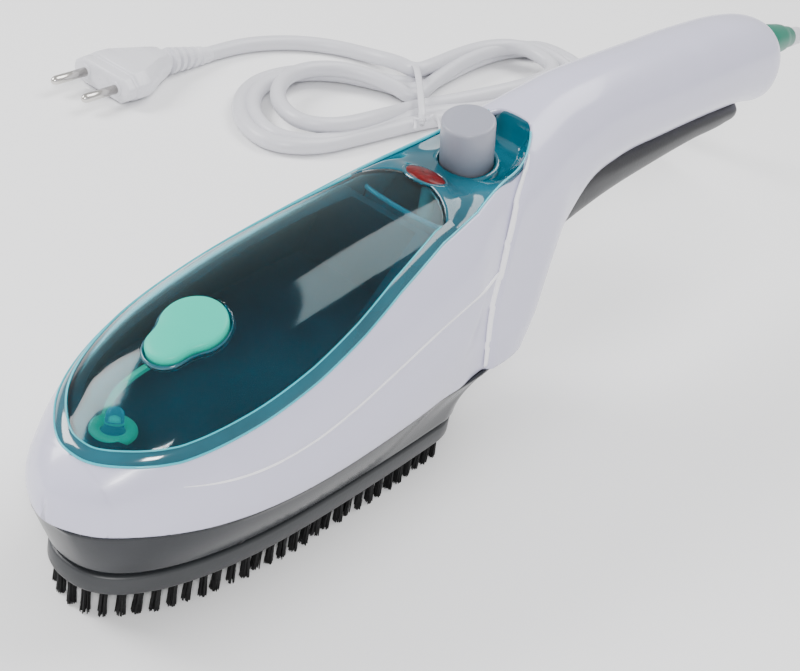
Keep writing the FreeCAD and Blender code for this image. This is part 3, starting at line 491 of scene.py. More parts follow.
def white_shell():
    """Shell's outer surface, open over the tank and below its border."""
    columns = 116
    rows = []
    for station in shell_stations():
        y, z = outline(station, 200)
        y, z = resample(y, z, columns, rim_sample(station, y, z))
        rows.append((station, y, z))
    for k in range(1, 9):
        turn = pi / 2 * k / 8
        inset = TIP_ROUND * (1 - cos(turn))
        station = TAIL - TIP_ROUND + TIP_ROUND * sin(turn)
        y, z = outline(min(station, TAIL), 200, inset)
        rows.append((station, *resample(y, z, columns)))
    station, y, z = rows[-1]
    middle = (z[0] + z[-1]) / 2
    for share in (0.8, 0.45, 0.02):
        rows.append((station, y * share, middle + (z - middle) * share))
    station, y, z = rows[0]
    rows.insert(0, (station - 0.15, y * 0.05, 41 + (z - 41) * 0.05))
    x = np.array([np.full(columns, row[0]) for row in rows])
    y = np.array([row[1] for row in rows])
    z = np.array([row[2] for row in rows])
    # Outward normals in the section's plane, for drawing the surface in along them.
    ty, tz = np.gradient(y, axis=1), np.gradient(z, axis=1)
    size = np.hypot(ty, tz) + 1e-9
    depth = crease_depth(x, y, z) * smoothstep(0.0, 6.0, y)
    y = y + depth * tz / size
    z = z - depth * ty / size
    points = list(zip(x.ravel(), y.ravel(), z.ravel()))
    mesh = mirrored(points, len(rows), columns)
    work = bmesh.new()
    work.from_mesh(mesh)
    bmesh.ops.bisect_plane(work, geom=work.verts[:] + work.edges[:] + work.faces[:],
                           plane_co=(0, 0, BORDER * MM), plane_no=(0, 0, -1),
                           clear_outer=True, dist=1e-6)
    bmesh.ops.remove_doubles(work, verts=work.verts, dist=0.00005)
    work.to_mesh(mesh)
    work.free()
    return mesh


shell = piece("shell", white_shell(), WHITE, "steamer", "white_shell", "body_shell")
solidify(shell, SHELL_WALL)

# Much lighter copy of the shell's white for the crease beads: a painted highlight.
PAINTED_HIGHLIGHT_WHITE = material("white_painted_highlight_plastic", (0.93, 0.92, 0.97), 0.3, spread=0.01, bump=0.02,
                  Coat_Weight=0.3)


def skin_point(x, z, side):
    """Point of the drawn-in shell at a station and height."""
    y, heights = outline(x, 300)
    half = float(np.interp(-z, -heights, y))
    inset = float(crease_depth(np.array([x]), np.array([half]), np.array([z]))[0])
    return to_frame(x, side * (half - inset * 0.9), z)


LINE_STEPS, LINE_FLATNESS = 90, 0.42


def styling_line(name, path, sizes, side):
    """Rounded bead that runs along a crease of the shell, coloured lighter than the shell as a
    painted highlight.
    """
    rings = []
    steps = np.linspace(0, len(path) - 1, LINE_STEPS)
    xs = spline(range(len(path)), [p[0] for p in path], steps)
    zs = spline(range(len(path)), [p[1] for p in path], steps)
    centres = [skin_point(x, z, side) for x, z in zip(xs, zs)]
    for k, centre in enumerate(centres):
        ahead = centres[min(k + 1, LINE_STEPS - 1)] - centres[max(k - 1, 0)]
        across = ahead.cross(Vector((0, side, 0))).normalized()
        out = across.cross(ahead).normalized()
        wide = float(np.interp(steps[k], range(len(path)), sizes)) * MM
        rings.append([centre + across * cos(a) * wide
                      + out * sin(a) * wide * LINE_FLATNESS for a in around(12)])
    return piece(name, loft(rings), PAINTED_HIGHLIGHT_WHITE, "steamer", "white_shell")


SWOOSH_SIZES = [0.1, 0.5, 0.75, 0.85, 0.9, 0.95, 0.95, 0.95, 0.9]
COLLAR_SIZES = [0.6, 1.3, 1.7, 1.7, 1.6, 1.5, 1.3, 1.0]
COLLAR_FOOT = (144.2, 38.0)  # the collar's bead ends above the shell's border
for side, word in ((-1, "right"), (1, "left")):
    styling_line("swoosh_line_" + word, SWOOSH, SWOOSH_SIZES, side)
    styling_line("collar_line_" + word, COLLAR[:-1] + [COLLAR_FOOT], COLLAR_SIZES, side)


# ------------------------ tank

def top_rows(stations, columns):
    """Rows over the top of the body from one edge of the opening to the other."""
    rows = []
    for station in stations:
        y, z = outline(station)
        edge = rim_sample(station, y, z)
        index = np.linspace(edge, 0.0, columns)
        samples = np.arange(len(y))
        rows.append((np.interp(index, samples, y), np.interp(index, samples, z)))
    return rows


SEAM_STATION, SEAM_RADIUS = 130.5, 24.5


def seam_at(y):
    """Station of the seam between dome and deck, this far from the middle."""
    reach = np.sqrt(np.maximum(SEAM_RADIUS ** 2 - np.minimum(np.abs(y), 23.0) ** 2, 0))
    return SEAM_STATION - SEAM_RADIUS + reach


def tank_patch(ends_at, first, last, rows, columns):
    """Patch of the tank's surface whose ends follow plan curves."""
    fine = np.arange(TANK_START, 172.0, 0.5)
    table = top_rows(fine, columns)
    ys = np.array([row[0] for row in table])
    zs = np.array([row[1] for row in table])
    points = []
    for i in range(rows):
        share = i / (rows - 1)
        for j in range(columns):
            x = first + (last - first) * share
            for _ in range(4):
                y = np.interp(x, fine, ys[:, j])
                start, end = ends_at(y)
                x = start + (end - start) * share
            x = x if share else start
            points.append((x, np.interp(x, fine, ys[:, j]), np.interp(x, fine, zs[:, j])))
    return mirrored(points, rows, columns)


CAP_PLACE = (Matrix.Translation(to_frame(38.5, 0, 79.2))
             @ Matrix.Rotation(radians(-19.0), 4, "Y"))


PEAR_MIDDLE, PEAR_RADIUS, PEAR_BLEND = -4.0, 9.6, 3.0
TAB_REACH, TAB_RADIUS = 9.8, 6.3


def pear(grow, count=72):
    """Pear-shaped outline of the cap round its middle, in millimetres."""
    points = []
    for k in range(count):
        turn = 2 * pi * k / count
        c, s = cos(turn), sin(turn)
        near, far = 0.0, 40.0
        for _ in range(30):
            mid = (near + far) / 2
            x, y = PEAR_MIDDLE + c * mid, s * mid
            big = hypot(x, y) - PEAR_RADIUS
            tab = hypot(x + TAB_REACH, y) - TAB_RADIUS
            blend = max(0.0, min(1.0, 0.5 + 0.5 * (tab - big) / PEAR_BLEND))
            gap = tab * (1 - blend) + big * blend - PEAR_BLEND * blend * (1 - blend)
            near, far = (mid, far) if gap < 0 else (near, mid)
        points.append((PEAR_MIDDLE + c * (near + grow), s * (near + grow)))
    return points


def pear_loft(levels, cap_start=True, cap_end=True):
    """Rings of the pear outline: (grow, height) each, or (share, height, True) when scaled."""
    rings = []
    for level in levels:
        if len(level) == 3:
            ring = [(PEAR_MIDDLE + (x - PEAR_MIDDLE) * level[0], y * level[0])
                    for x, y in pear(0.0)]
        else:
            ring = pear(level[0])
        rings.append([CAP_PLACE @ Vector((x * MM, y * MM, level[1] * MM)) for x, y in ring])
    return loft(rings, cap_start, cap_end)


dome_mesh = tank_patch(lambda y: (TANK_START + 0.1, seam_at(y)), TANK_START, SEAM_STATION, 96, 34)
dome = piece("tank_dome", dome_mesh, DOME, "steamer", "teal_clear", "tank_cover")
solidify(dome, DOME_WALL)
cut_with(dome, pear_loft([(0.55, -5.0), (0.55, 6.0)]))

seat = [(1.3, -2.4), (1.3, -0.9), (0.9, -0.5), (0.5, -0.6), (0.5, -2.0), (-1.5, -2.2)]
piece("filler_seat", pear_loft(seat + [(-1.5, -2.9), (1.1, -2.9)], False, False),
      FLANGE, "steamer", "teal_clear")

cap_levels = [(0.0, -1.7), (0.0, 0.35), (-0.12, 0.85), (-0.45, 1.2), (-1.0, 1.42),
              (0.78, 1.58, True), (0.5, 1.72, True), (0.2, 1.78, True)]
piece("cap_rubber", pear_loft(cap_levels), MINT_PAINTED_GLOW, "cap", "mint_rubber", "filler_cap")
bung_profile = [(1.6, 5.4), (2.2, 5.6), (4.4, 5.6), (4.9, 5.9), (5.4, 5.6), (7.6, 5.0),
                (7.8, 4.2), (7.8, 0)]
piece("cap_bung", revolve(bung_profile, CAP_PLACE.translation,
                          CAP_PLACE.to_3x3() @ Vector((0, 0, -1))), MINT_PAINTED_GLOW, "cap", "mint_rubber")

TOP_STEP, TOP_HALF_COUNT = 0.5, 80
top_stations = np.arange(TANK_START - 4.0, 181.0, TOP_STEP)
top_sections = [outline(station, 2 * TOP_HALF_COUNT) for station in top_stations]


def top_height(x, y):
    """Height of the body's upper surface over a point of the plan."""
    at = np.clip((x - top_stations[0]) / TOP_STEP, 0, len(top_stations) - 1.001)
    k = int(at)
    ends = [np.interp(abs(y), *(line[:TOP_HALF_COUNT] for line in top_sections[i]))
            for i in (k, k + 1)]
    return ends[0] + (ends[1] - ends[0]) * (at - k)


PROBE = 0.3  # step over which the surface's slope is measured


def strip(near, far, lift, end):
    """Band on the upper surface that follows the shell's edge round the nose."""
    run = np.concatenate([np.linspace(0.02, sqrt(14), 30) ** 2,
                          np.arange(15.5, end - TANK_START, 1.5)])
    edge = []
    for station in TANK_START + run:
        y, z = outline(station, 300)
        edge.append((station, float(np.interp(rim_sample(station, y, z),
                                              np.arange(300), y))))
    edge = [(x, -y) for x, y in edge[::-1]] + edge
    plan = np.array(edge)
    tangent = np.gradient(plan, axis=0)
    tangent /= np.linalg.norm(tangent, axis=1)[:, None] + 1e-9
    profile = [(near, -0.5), (near, lift * 0.6), (near + 0.2, lift), (far - 0.2, lift),
               (far, lift * 0.6), (far, -0.5)]
    points = []
    for (x0, y0), (tx, ty) in zip(plan, tangent):
        inward = (ty, -tx)
        for along, rise in profile:
            x, y, step = x0, y0, along / 8
            for _ in range(8):
                slope = (top_height(x + inward[0] * PROBE, y + inward[1] * PROBE)
                         - top_height(x, y)) / PROBE
                x += inward[0] * step / hypot(1, slope)
                y += inward[1] * step / hypot(1, slope)
            z = top_height(x, y)
            dx = (top_height(x + PROBE, y) - top_height(x - PROBE, y)) / (2 * PROBE)
            dy = (top_height(x, y + PROBE) - top_height(x, y - PROBE)) / (2 * PROBE)
            size = sqrt(1 + dx * dx + dy * dy)
            points.append(to_frame(x - dx / size * rise, y - dy / size * rise,
                                   z + rise / size))
    return mesh_from(points, grid_faces(len(plan), len(profile), closed=True))


piece("rim_band", strip(0.1, 4.3, 0.3, 126.0), FLANGE, "steamer", "teal_clear")
# The rim's two edge lines carry the glowing light teal: painted highlights.
piece("rim_edge_outer", strip(-0.1, 0.55, 0.5, 176.0), PAINTED_HIGHLIGHT_TEAL, "steamer", "teal_clear")
piece("rim_edge_inner", strip(4.1, 4.6, 0.5, 122.0), PAINTED_HIGHLIGHT_TEAL, "steamer", "teal_clear")


# ------------------------ pump deck

def deck_height(x, share):
    """Height of the deck: level in the middle, up to the shell's edge at the sides."""
    y, z = outline(x)
    edge_z = np.interp(rim_sample(x, y, z), np.arange(len(z)), z) - 0.4
    centre = np.interp(x, [126, 132, 140, 150, 172], [section(x)[3], 95.2, 94.0, 93.4, 93.2])
    lift = smoothstep(0.62, 1.0, share) ** 1.3
    return centre * (1 - lift) + min(edge_z, centre + 4) * lift


DECK_END, DECK_LIMIT, DECK_SAMPLES, WALL_ROWS = 177.2, 177.0, 60, 12


def pump_deck():
    """Deck over the pump, with the wall that stands on its rear edge behind the button."""
    columns, rows = 26, 40
    half_count = DECK_SAMPLES // 2
    points = []
    for i in range(rows):
        for j in range(columns):
            share = j / (columns - 1)
            x = 150.0
            for _ in range(5):
                yy, zz = outline(min(x, DECK_LIMIT), DECK_SAMPLES)
                edge = rim_sample(min(x, DECK_LIMIT), yy, zz)
                half = np.interp(edge, np.arange(DECK_SAMPLES), yy)
                start = seam_at(half * share) + 0.35
                x = start + (DECK_END - start) * i / (rows - 1)
            level = deck_height(min(x, DECK_LIMIT), share)
            surface = np.interp(half * share, yy[:half_count], zz[:half_count]) - 0.05
            near = smoothstep(10.0, 0.0, x - start)
            level = level * (1 - near) + surface * near
            points.append((x, half * share, level + 1.5 * smoothstep(173.6, DECK_END, x) ** 2))
    yy, zz = outline(DECK_END + 0.4, DECK_SAMPLES)
    for k in range(1, WALL_ROWS + 1):
        rise = k / WALL_ROWS
        for j in range(columns):
            x, y, z = points[(rows - 1) * columns + j]
            top = np.interp(y, yy[:half_count], zz[:half_count]) - 0.5
            points.append((x + 0.9 * rise, y + 0.7 * j / (columns - 1), z + (top - z) * rise))
    return mirrored(points, rows + WALL_ROWS, columns)


deck = piece("pump_deck", pump_deck(), DECK, "steamer", "teal_clear", "pump_cover")
solidify(deck, DECK_WALL)

TILT = radians(13.5)
BUTTON_AXIS = Vector((-sin(TILT), 0, cos(TILT)))
BUTTON_TOP = to_frame(151.0, 0, 110.0)
BUTTON_RADIUS, HOLE_RADIUS = 8.5, 8.95
cut_with(deck, revolve([(-30, HOLE_RADIUS), (6, HOLE_RADIUS)], BUTTON_TOP, BUTTON_AXIS))

button_profile = [(-25, 7.0), (-25, BUTTON_RADIUS), (-1.2, BUTTON_RADIUS), (-0.5, 8.4),
                  (-0.12, 8.1), (0.0, 7.6),
                  (-0.05, 6.9), (-0.18, 6.4), (-0.16, 3.5), (-0.1, 0)]
piece("button_cap", revolve(button_profile, BUTTON_TOP, BUTTON_AXIS, 72), BUTTON,
      "button", "button_grey", "pump_button")
ring_profile = [(-17.4, 9.0), (-15.7, 9.0), (-15.3, 9.3), (-15.3, 10.0), (-15.8, 10.6),
                (-17.4, 10.8)]
collar_ring = revolve(ring_profile, BUTTON_TOP, BUTTON_AXIS, 72)
piece("button_ring", collar_ring, FLANGE, "steamer", "teal_clear")


LENS_PLACE = Matrix.Translation(to_frame(134.4, 0.4, 95.1)) @ Matrix.Rotation(0.10, 4, "Y")
LENS_LENGTH, LENS_WIDTH = 4.6, 7.0  # halves of the oval


def lens_ring(length, width, height):
    """Oval ring of the lens, from half its length and half its width."""
    return [LENS_PLACE @ Vector((length * cos(t) * MM, width * sin(t) * MM, height * MM))
            for t in around(56)]


# Share of the oval and height of the lens's rings, then growth and height of its bezel's.
lens_levels = [(1.0, -2.0), (1.0, 0.25), (0.95, 0.55), (0.84, 0.85), (0.6, 1.15), (0.3, 1.3),
               (0.05, 1.34)]
bezel_levels = [(0.15, -1.6), (0.15, 0.35), (0.5, 0.55), (1.1, 0.3), (1.3, -0.6)]
lens_rings = [lens_ring(LENS_LENGTH * share, LENS_WIDTH * share, height)
              for share, height in lens_levels]
bezel_rings = [lens_ring(LENS_LENGTH + grow, LENS_WIDTH + grow, height)
               for grow, height in bezel_levels]
piece("lens", loft(lens_rings), LENS, "steamer", "red_lens", "indicator_lens")
piece("lens_bezel", loft(bezel_rings, False, False), FLANGE, "steamer", "teal_clear")


# ------------------------ inside the clear tank

def curve_piece(name, points, radius, mat, body, slot, *replaced, resolution=6, order=4):
    """Round strip along a smooth curve through the row frame."""
    data = bpy.data.curves.new(name, "CURVE")
    data.dimensions = "3D"
    data.bevel_depth = 1.0
    data.bevel_resolution = resolution
    data.resolution_u = 10
    data.use_fill_caps = True
    line = data.splines.new("NURBS")
    line.points.add(len(points) - 1)
    for knot, point in zip(line.points, points):
        knot.co = (*point, 1.0)
        knot.radius = radius * MM
    line.order_u = order
    line.use_endpoint_u = True
    return visual(name, data, mat, body, replaced)


RING_CENTRE = to_frame(12.2, 0, 55.4)
RING_RADIUS, RING_THICKNESS, RING_HEIGHT = 5.0, 1.6, 1.35
ring_rows = []
for k in range(64):
    out = compass(2 * pi * k / 64)
    ring_rows.append([RING_CENTRE + out * (RING_RADIUS + RING_THICKNESS * cos(a)) * MM
                      + Vector((0, 0, RING_HEIGHT * sin(a) * MM)) for a in around(20)])
piece("ring_seal", ring_loft(ring_rows), STRAP_PAINTED_GLOW, "steamer", "green_rubber",
      "tether_ring")
post_profile = [(0, 3.5), (5.6, 3.5), (6.2, 3.0), (7.0, 2.7), (11.4, 2.4), (12.2, 2.0),
                (12.4, 1.2)]
piece("outlet_nipple", revolve(post_profile, to_frame(12.5, 0, 49.4), (0, 0, 1)),
      POST_PAINTED_GLOW, "steamer", "clear_plastic", "outlet_post")
curve_piece("tether_strap", [to_frame(*p) for p in (
    (30.5, 0.0, 73.0), (27.0, 0.4, 71.6), (22.0, 1.8, 69.2), (17.5, 3.4, 66.0),
    (14.6, 4.6, 61.5), (13.6, 4.9, 56.0))], 1.0, STRAP_PAINTED_GLOW, "steamer", "green_rubber", "cap_tether")

# Wall across the tank in front of the pump; its upper edge is a light teal bead that glows, a
# painted highlight.
WALL_STATION, WALL_FOOT, WALL_TOP, WALL_HALF, WALL_BOW = 123.5, 62.0, 87.0, 14.6, 1.5
wall_points = []
for level in range(9):
    for k in range(25):
        side = k / 24 * 2 - 1
        widen = 1.0 + 0.35 * (1 - level / 8)
        wall_points.append(to_frame(WALL_STATION + WALL_BOW * side ** 4,
                                    side * WALL_HALF * widen,
                                    WALL_FOOT + (WALL_TOP - WALL_FOOT) * level / 8))
wall = piece("tank_bulkhead", mesh_from(wall_points, grid_faces(9, 25)),
             WALL, "steamer", "teal_clear")
solidify(wall, BULKHEAD_WALL)
edge_points = [to_frame(WALL_STATION + WALL_BOW * side ** 4, side * WALL_HALF, WALL_TOP)
               for side in (-1, -0.6, -0.2, 0.2, 0.6, 1)]
curve_piece("bulkhead_edge", edge_points, 0.75, PAINTED_HIGHLIGHT_TEAL, "steamer", "teal_clear")


# ------------------------ plans of the lower parts

def half_plan(start, end, nose_length, half, rear_half, corner, offset=0.0):
    """Right-hand half of a pointed oval plan with a rounded rear, from the nose backwards."""
    reach = nose_length * np.linspace(0, 1, 40) ** 2
    side = half * (1 - np.abs(1 - reach / nose_length) ** 2.4) ** (1 / 2.4)
    straight = end - corner - start - nose_length
    share = np.linspace(0, 1, 30)[1:]
    turn = np.linspace(0, pi / 2, 16)[1:]
    x = np.concatenate([start + reach, start + nose_length + straight * share,
                        end - corner + corner * np.sin(turn)])
    y = np.concatenate([side, half - (half - rear_half) * share ** 2,
                        rear_half - corner + corner * np.cos(turn)])
    back = np.linspace(y[-1], 0, 12)[1:]
    x = np.concatenate([x, np.full(len(back), end)])
    y = np.concatenate([y, back])
    dx, dy = np.gradient(x), np.gradient(y)
    dx[0], dy[0] = 0.0, 1.0
    dx[-1], dy[-1] = 0.0, -1.0
    size = np.hypot(dx, dy)
    return x - offset * dy / size, y + offset * dx / size


def plan_ring(height, plan):
    """Closed ring of frame points at a height from the right-hand half of a plan."""
    x, y = plan
    points = [to_frame(a, -b, height) for a, b in zip(x, y)]
    points += [to_frame(a, b, height) for a, b in zip(x[-2:0:-1], y[-2:0:-1])]
    return points


def brush_plan(offset):
    """Plan of the brush, grown by an offset."""
    return half_plan(0.0, 147.4, 75.0, 26.5, 25.0, 15.7, offset)


def between(low_plan, high_plan, share):
    """Plan part of the way from one plan to another."""
    return tuple(a * (1 - share) + b * share for a, b in zip(low_plan, high_plan))


shell_stations_low = np.linspace(NOSE + 0.4, 186, 120)
shell_halves_low = []
for station in shell_stations_low:
    y, z = outline(station, 300)
    shell_halves_low.append(float(np.interp(-BORDER - 0.3, -z, y)) if z[-1] < BORDER else 0.0)


def border_plan(offset):
    """Plan of the lower edge of the shell, kept inside the shell's wall."""
    x, y = half_plan(-9.9, 178.5, 84.0, 36.0, 29.6, 22.0, offset)
    room = np.interp(x, shell_stations_low, shell_halves_low) - 0.7
    return x, np.clip(y, 0.0, np.maximum(room, 0.0))


skirt_rings = []
for z, grow in ((36.4, -1.2), (36.4, -0.9), (35.4, -0.8)):
    skirt_rings.append(plan_ring(z, border_plan(grow)))
for share in np.linspace(0.04, 1.0, 14):
    outer = border_plan(-1.0)
    tuck = smoothstep(85, 150, outer[0])
    inward = share * (1 - tuck) + (1 - (1 - share) ** 3) * tuck
    plan = between(outer, brush_plan(1.9), inward)
    bulge = 0.9 * sin(pi * share)
    x, y = plan
    skirt_rings.append(plan_ring(35.3 - 16.0 * share, (x, y * (1 + bulge / 34))))
for z, grow in ((18.8, 1.7), (18.6, 1.2), (18.6, -6.8), (20.8, -6.8)):
    skirt_rings.append(plan_ring(z, brush_plan(grow)))
skirt_rings.append(plan_ring(21.0, brush_plan(-0.4)))
skirt_rings.append(plan_ring(36.4, border_plan(-3.4)))
piece("skirt", ring_loft(skirt_rings), SKIRT, "steamer", "dark_housing",
      "lower_housing")

frame_profile = [(1.2, 11.0), (1.2, 15.7), (0.9, 16.3), (0.2, 16.6), (-3.2, 16.6), (-3.2, 13.1),
                 (-6.6, 13.0), (-7.0, 12.6), (-7.0, 10.4), (-6.6, 10.0), (0.2, 10.0), (0.9, 10.3)]
frame_rings = [plan_ring(z, brush_plan(grow)) for grow, z in frame_profile]
piece("bristle_frame", ring_loft(frame_rings), FRAME, "brush", "frame_grey",
      "brush_frame")


# ------------------------ bristles

TUFTS, FILAMENTS, FILAMENT_SIDES = 68, 44, 5
TUFT_ROOT, TUFT_INSET = 10.4, 2.2


def bristles():
    """Tufts of tapering filaments that spread towards their tips."""
    ring = [Vector(p) for p in plan_ring(TUFT_ROOT, brush_plan(-TUFT_INSET))]
    ring.append(ring[0])
    lengths = [0.0]
    for a, b in zip(ring, ring[1:]):
        lengths.append(lengths[-1] + (b - a).length)
    points, faces = [], []
    sides = FILAMENT_SIDES
    for k in range(TUFTS):
        at = lengths[-1] * k / TUFTS
        i = max(j for j in range(len(ring) - 1) if lengths[j] <= at)
        share = (at - lengths[i]) / max(lengths[i + 1] - lengths[i], 1e-9)
        root = ring[i].lerp(ring[i + 1], share)
        lean = Vector((rng.uniform(-0.5, 0.5), rng.uniform(-0.5, 0.5), 0)) * MM
        for _ in range(FILAMENTS):
            turn, reach = rng.uniform(0, 2 * pi), sqrt(rng.random())
            out = compass(turn)
            start = root + out * reach * 1.15 * MM
            end = root + lean + out * reach * rng.uniform(1.25, 1.6) * MM
            end.z = rng.uniform(0.05, 0.7) * MM
            middle = start.lerp(end, 0.5) - out * 0.15 * MM
            base = len(points)
            for centre, radius in ((start, 0.25), (middle, 0.24), (end, 0.17)):
                for s in range(sides):
                    points.append(centre + compass(2 * pi * s / sides) * radius * MM)
            faces += [tuple(base + i for i in quad) for quad in grid_faces(3, sides, closed=True)]
            faces.append(tuple(base + 2 * sides + s for s in range(sides)))
            faces.append(tuple(base + sides - 1 - s for s in range(sides)))
    return mesh_from(points, faces)


piece("bristle_filaments", bristles(), BRISTLE, "brush", "black_bristle", "bristle_tufts")


# ------------------------ handle

# Station, half width, lowest and highest point of the grip's rounded sections.
GRIP_CORNER = 0.72
GRIP_SECTIONS = [
    (200.0, 3.5, 50.0, 58.0), (201.5, 6.0, 50.5, 62.0), (206.0, 9.0, 53.0, 69.0),
    (218.0, 11.0, 57.5, 76.5), (232.0, 12.0, 62.0, 77.5), (255.0, 12.5, 65.5, 78.0),
    (285.0, 12.5, 68.0, 78.0), (310.0, 12.0, 68.2, 76.5), (320.0, 10.6, 69.6, 75.0),
    (324.0, 7.0, 71.5, 74.5),
]


def hand_grip():
    """Strip under the handle, from its heel to its end."""
    table = np.array(GRIP_SECTIONS)
    rings = []
    for station in np.linspace(table[0, 0], table[-1, 0], 60):
        half, low, high = (float(spline(table[:, 0], table[:, k], station)) for k in (1, 2, 3))
        middle, rise = (low + high) / 2, (high - low) / 2
        ring = []
        for k in range(48):
            a = 2 * pi * k / 48
            c, s = cos(a), sin(a)
            y = half * copysign(abs(c) ** GRIP_CORNER, c)
            z = middle + rise * copysign(abs(s) ** GRIP_CORNER, s)
            ring.append(to_frame(station, y, z))
        rings.append(ring)
    return loft(rings)


piece("hand_grip", hand_grip(), GRIP, "steamer", "grip_grey", "handle_grip")

ROOT, TIP = to_frame(333.0, 0, 93.4), to_frame(365.4, 0, 88.3)
bushing_profile = [(0, 6.1), (6.2, 6.1), (7.4, 6.3), (8.2, 6.6), (20, 6.1), (27, 5.8), (30, 5.45),
                   (31.6, 4.9), (32.6, 4.6), (37.4, 4.3), (37.9, 4.0), (37.9, 3.5)]
piece("bushing", revolve(bushing_profile, ROOT, TIP - ROOT, 56), GREEN, "steamer",
      "green_rubber", "cord_bushing")


# ------------------------ cord

# The lead from the handle, in millimetres of the row frame.
LEAD_ROUTE = [
    (190.0, 0.0, 87.5), (203.5, 0.6, 85.4), (214.5, 8.0, 78.2), (220.0, 22.0, 66.0),
    (221.5, 38.0, 50.0), (223.0, 55.0, 32.5), (229.0, 74.0, 16.5), (240.0, 94.0, 6.5),
    (252.0, 112.0, 3.8),
]
# One turn of the hank: point on the floor, and how much the tie draws it in.
HANK_TURN = [
    (266.0, 132.0, 0.0), (262.0, 148.0, 0.0), (243.0, 157.0, 0.0), (216.0, 159.0, 0.1),
    (190.0, 157.5, 0.5), (163.0, 157.0, 1.0), (151.0, 173.0, 0.5), (138.0, 188.0, 0.1),
    (119.0, 197.0, 0.0), (98.0, 197.0, 0.0), (79.0, 187.0, 0.0), (66.0, 171.0, 0.0),
    (63.0, 153.0, 0.0), (78.0, 140.0, 0.0), (103.0, 136.0, 0.1), (137.0, 131.0, 1.0),
    (162.0, 124.5, 0.5), (194.0, 118.0, 0.1), (226.0, 114.0, 0.0), (252.0, 118.0, 0.0),
]
TIE = Vector((150.0, 144.0, 0.0))
# Size of each turn's lobes, share of the tie's span it passes at, and its heights at the lobes.
TURNS = [(1.0, 1.0, 3.7), (0.93, 0.6, 4.6), (0.80, 0.2, 9.5)]
PLUG_ROUTE = [
    (164.0, 157.0, 10.6), (170.0, 172.0, 7.4), (169.5, 187.0, 4.4), (163.5, 202.5, 3.6),
    (151.0, 215.5, 3.6), (134.0, 224.5, 3.6), (117.0, 228.5, 3.6), (101.0, 228.5, 3.6),
]


CORD_RADIUS, WAIST_HEIGHT = 3.5, 3.7
# The end of the hank crosses over it to the plug: its size, shift and height.
OVER_SIZE, OVER_SHIFT, OVER_HEIGHT = 0.74, 3.0, 10.6


def hank_route():
    """Turns of the hank, then the strand that crosses over them, in millimetres."""
    points = []
    for number, (size, waist, height) in enumerate(TURNS):
        for k, (x, y, pinch) in enumerate(HANK_TURN):
            if number == 0 and k == 0:
                continue
            scale = size * (1 - pinch) + waist * pinch
            spot = TIE + (Vector((x, y, 0)) - TIE) * scale
            spot.z = height * (1 - pinch) + WAIST_HEIGHT * pinch
            points.append(tuple(spot))
    for x, y, _ in HANK_TURN[:5]:
        spot = TIE + (Vector((x, y, 0)) - TIE) * OVER_SIZE
        points.append((spot.x, spot.y + OVER_SHIFT, OVER_HEIGHT))
    return points


cord_points = [Vector(p) * MM for p in LEAD_ROUTE + hank_route() + PLUG_ROUTE]
cord = curve_piece("mains_cord", cord_points, CORD_RADIUS, CORD, "steamer", "cord_white",
                   "cord_lead", "cord_hank", "plug_lead", resolution=8, order=3)
cord.data.resolution_u = 8


TIE_HALF, TIE_MIDDLE, TIE_RISE = 22.6, 7.6, 7.2
TIE_SECTION = ((-1.6, 0), (-1.2, 0.35), (1.2, 0.35), (1.6, 0), (1.2, -0.3), (-1.2, -0.3))


def twist_tie():
    """Flat tie round the waist of the hank."""
    across = compass(radians(45))
    along = Vector((-across.y, across.x, 0))
    rings = []
    for k in range(60):
        turn = 2 * pi * k / 60
        c, s = cos(turn), sin(turn)
        y = TIE_HALF * copysign(abs(c) ** 0.5, c)
        z = TIE_MIDDLE + TIE_RISE * copysign(abs(s) ** 0.62, s)
        z -= 3.4 * smoothstep(8, -20, y) * (s > 0)
        ring = []
        for a, b in TIE_SECTION:
            lift = Vector((0, 0, s * b)) + across * c * b
            ring.append((TIE + across * y + Vector((0, 0, max(z, 0.4))) + along * a + lift) * MM)
        rings.append(ring)
    return ring_loft(rings)


tie = piece("twist_tie", twist_tie(), PLUG, "steamer", "cord_white", "cord_tie")
# The tie's two twisted ends: how far each one reaches along and across, and how high.
TAIL_ROOT = TIE + Vector((-14.5, -15.5, 0))
TAIL_REACHES = ((-9.0, -1.5, 5.0), (2.0, -8.0, 6.5))
for number, (dx, dy, dz) in enumerate(TAIL_REACHES):
    route = []
    for k in range(9):
        share = k / 8
        curl = Vector((sin(9 * share + number), cos(9 * share), 0)) * 1.3
        route.append((TAIL_ROOT + Vector((dx, dy, 0)) * share + curl
                      + Vector((0, 0, 4.0 + dz * sin(pi * share * 0.9)))) * MM)
    curve_piece("tie_end_%d" % (number + 1), route, 0.7, PLUG, "steamer",
                                "cord_white", resolution=3)

# Plug: lengths are measured back from the face that its pins stand on.
HEADING = Vector((-1.0, 0.0, 0.0))
RELIEF_ROOT = Vector(PLUG_ROUTE[-1])
RELIEF_LENGTH, PLUG_LENGTH, PLUG_LEVEL = 28.0, 36.0, 6.95
PIN_HALF_GAP, PIN_LENGTH = 9.5, 19.0
PIN_FACE = RELIEF_ROOT + HEADING * (RELIEF_LENGTH + PLUG_LENGTH)
SIDE = Vector((0.0, 1.0, 0.0))


def plug_point(back, side, height):
    """Point of the plug, in the row frame: distance behind the face, side and height."""
    return (Vector((PIN_FACE.x, PIN_FACE.y, 0)) - HEADING * back + SIDE * side
            + Vector((0, 0, height))) * MM


# Distance behind the face, half width, half thickness, half width of the flat top.
PLUG_ROWS = [
    (0.0, 16.4, 4.6, 11.5), (0.7, 17.4, 5.6, 12.5), (4.6, 17.5, 5.7, 12.6), (5.2, 16.9, 5.2, 12.2),
    (6.4, 16.9, 5.2, 12.2), (6.9, 17.4, 6.4, 12.0), (7.8, 17.5, 6.7, 11.8), (13.0, 17.4, 6.8, 11.5),
    (14.5, 16.9, 6.8, 11.2), (27.0, 10.2, 6.6, 6.2), (29.5, 9.0, 6.5, 5.4), (33.0, 7.6, 6.2, 4.4),
    (35.4, 6.6, 5.8, 3.6), (36.0, 5.6, 5.0, 3.0),
]


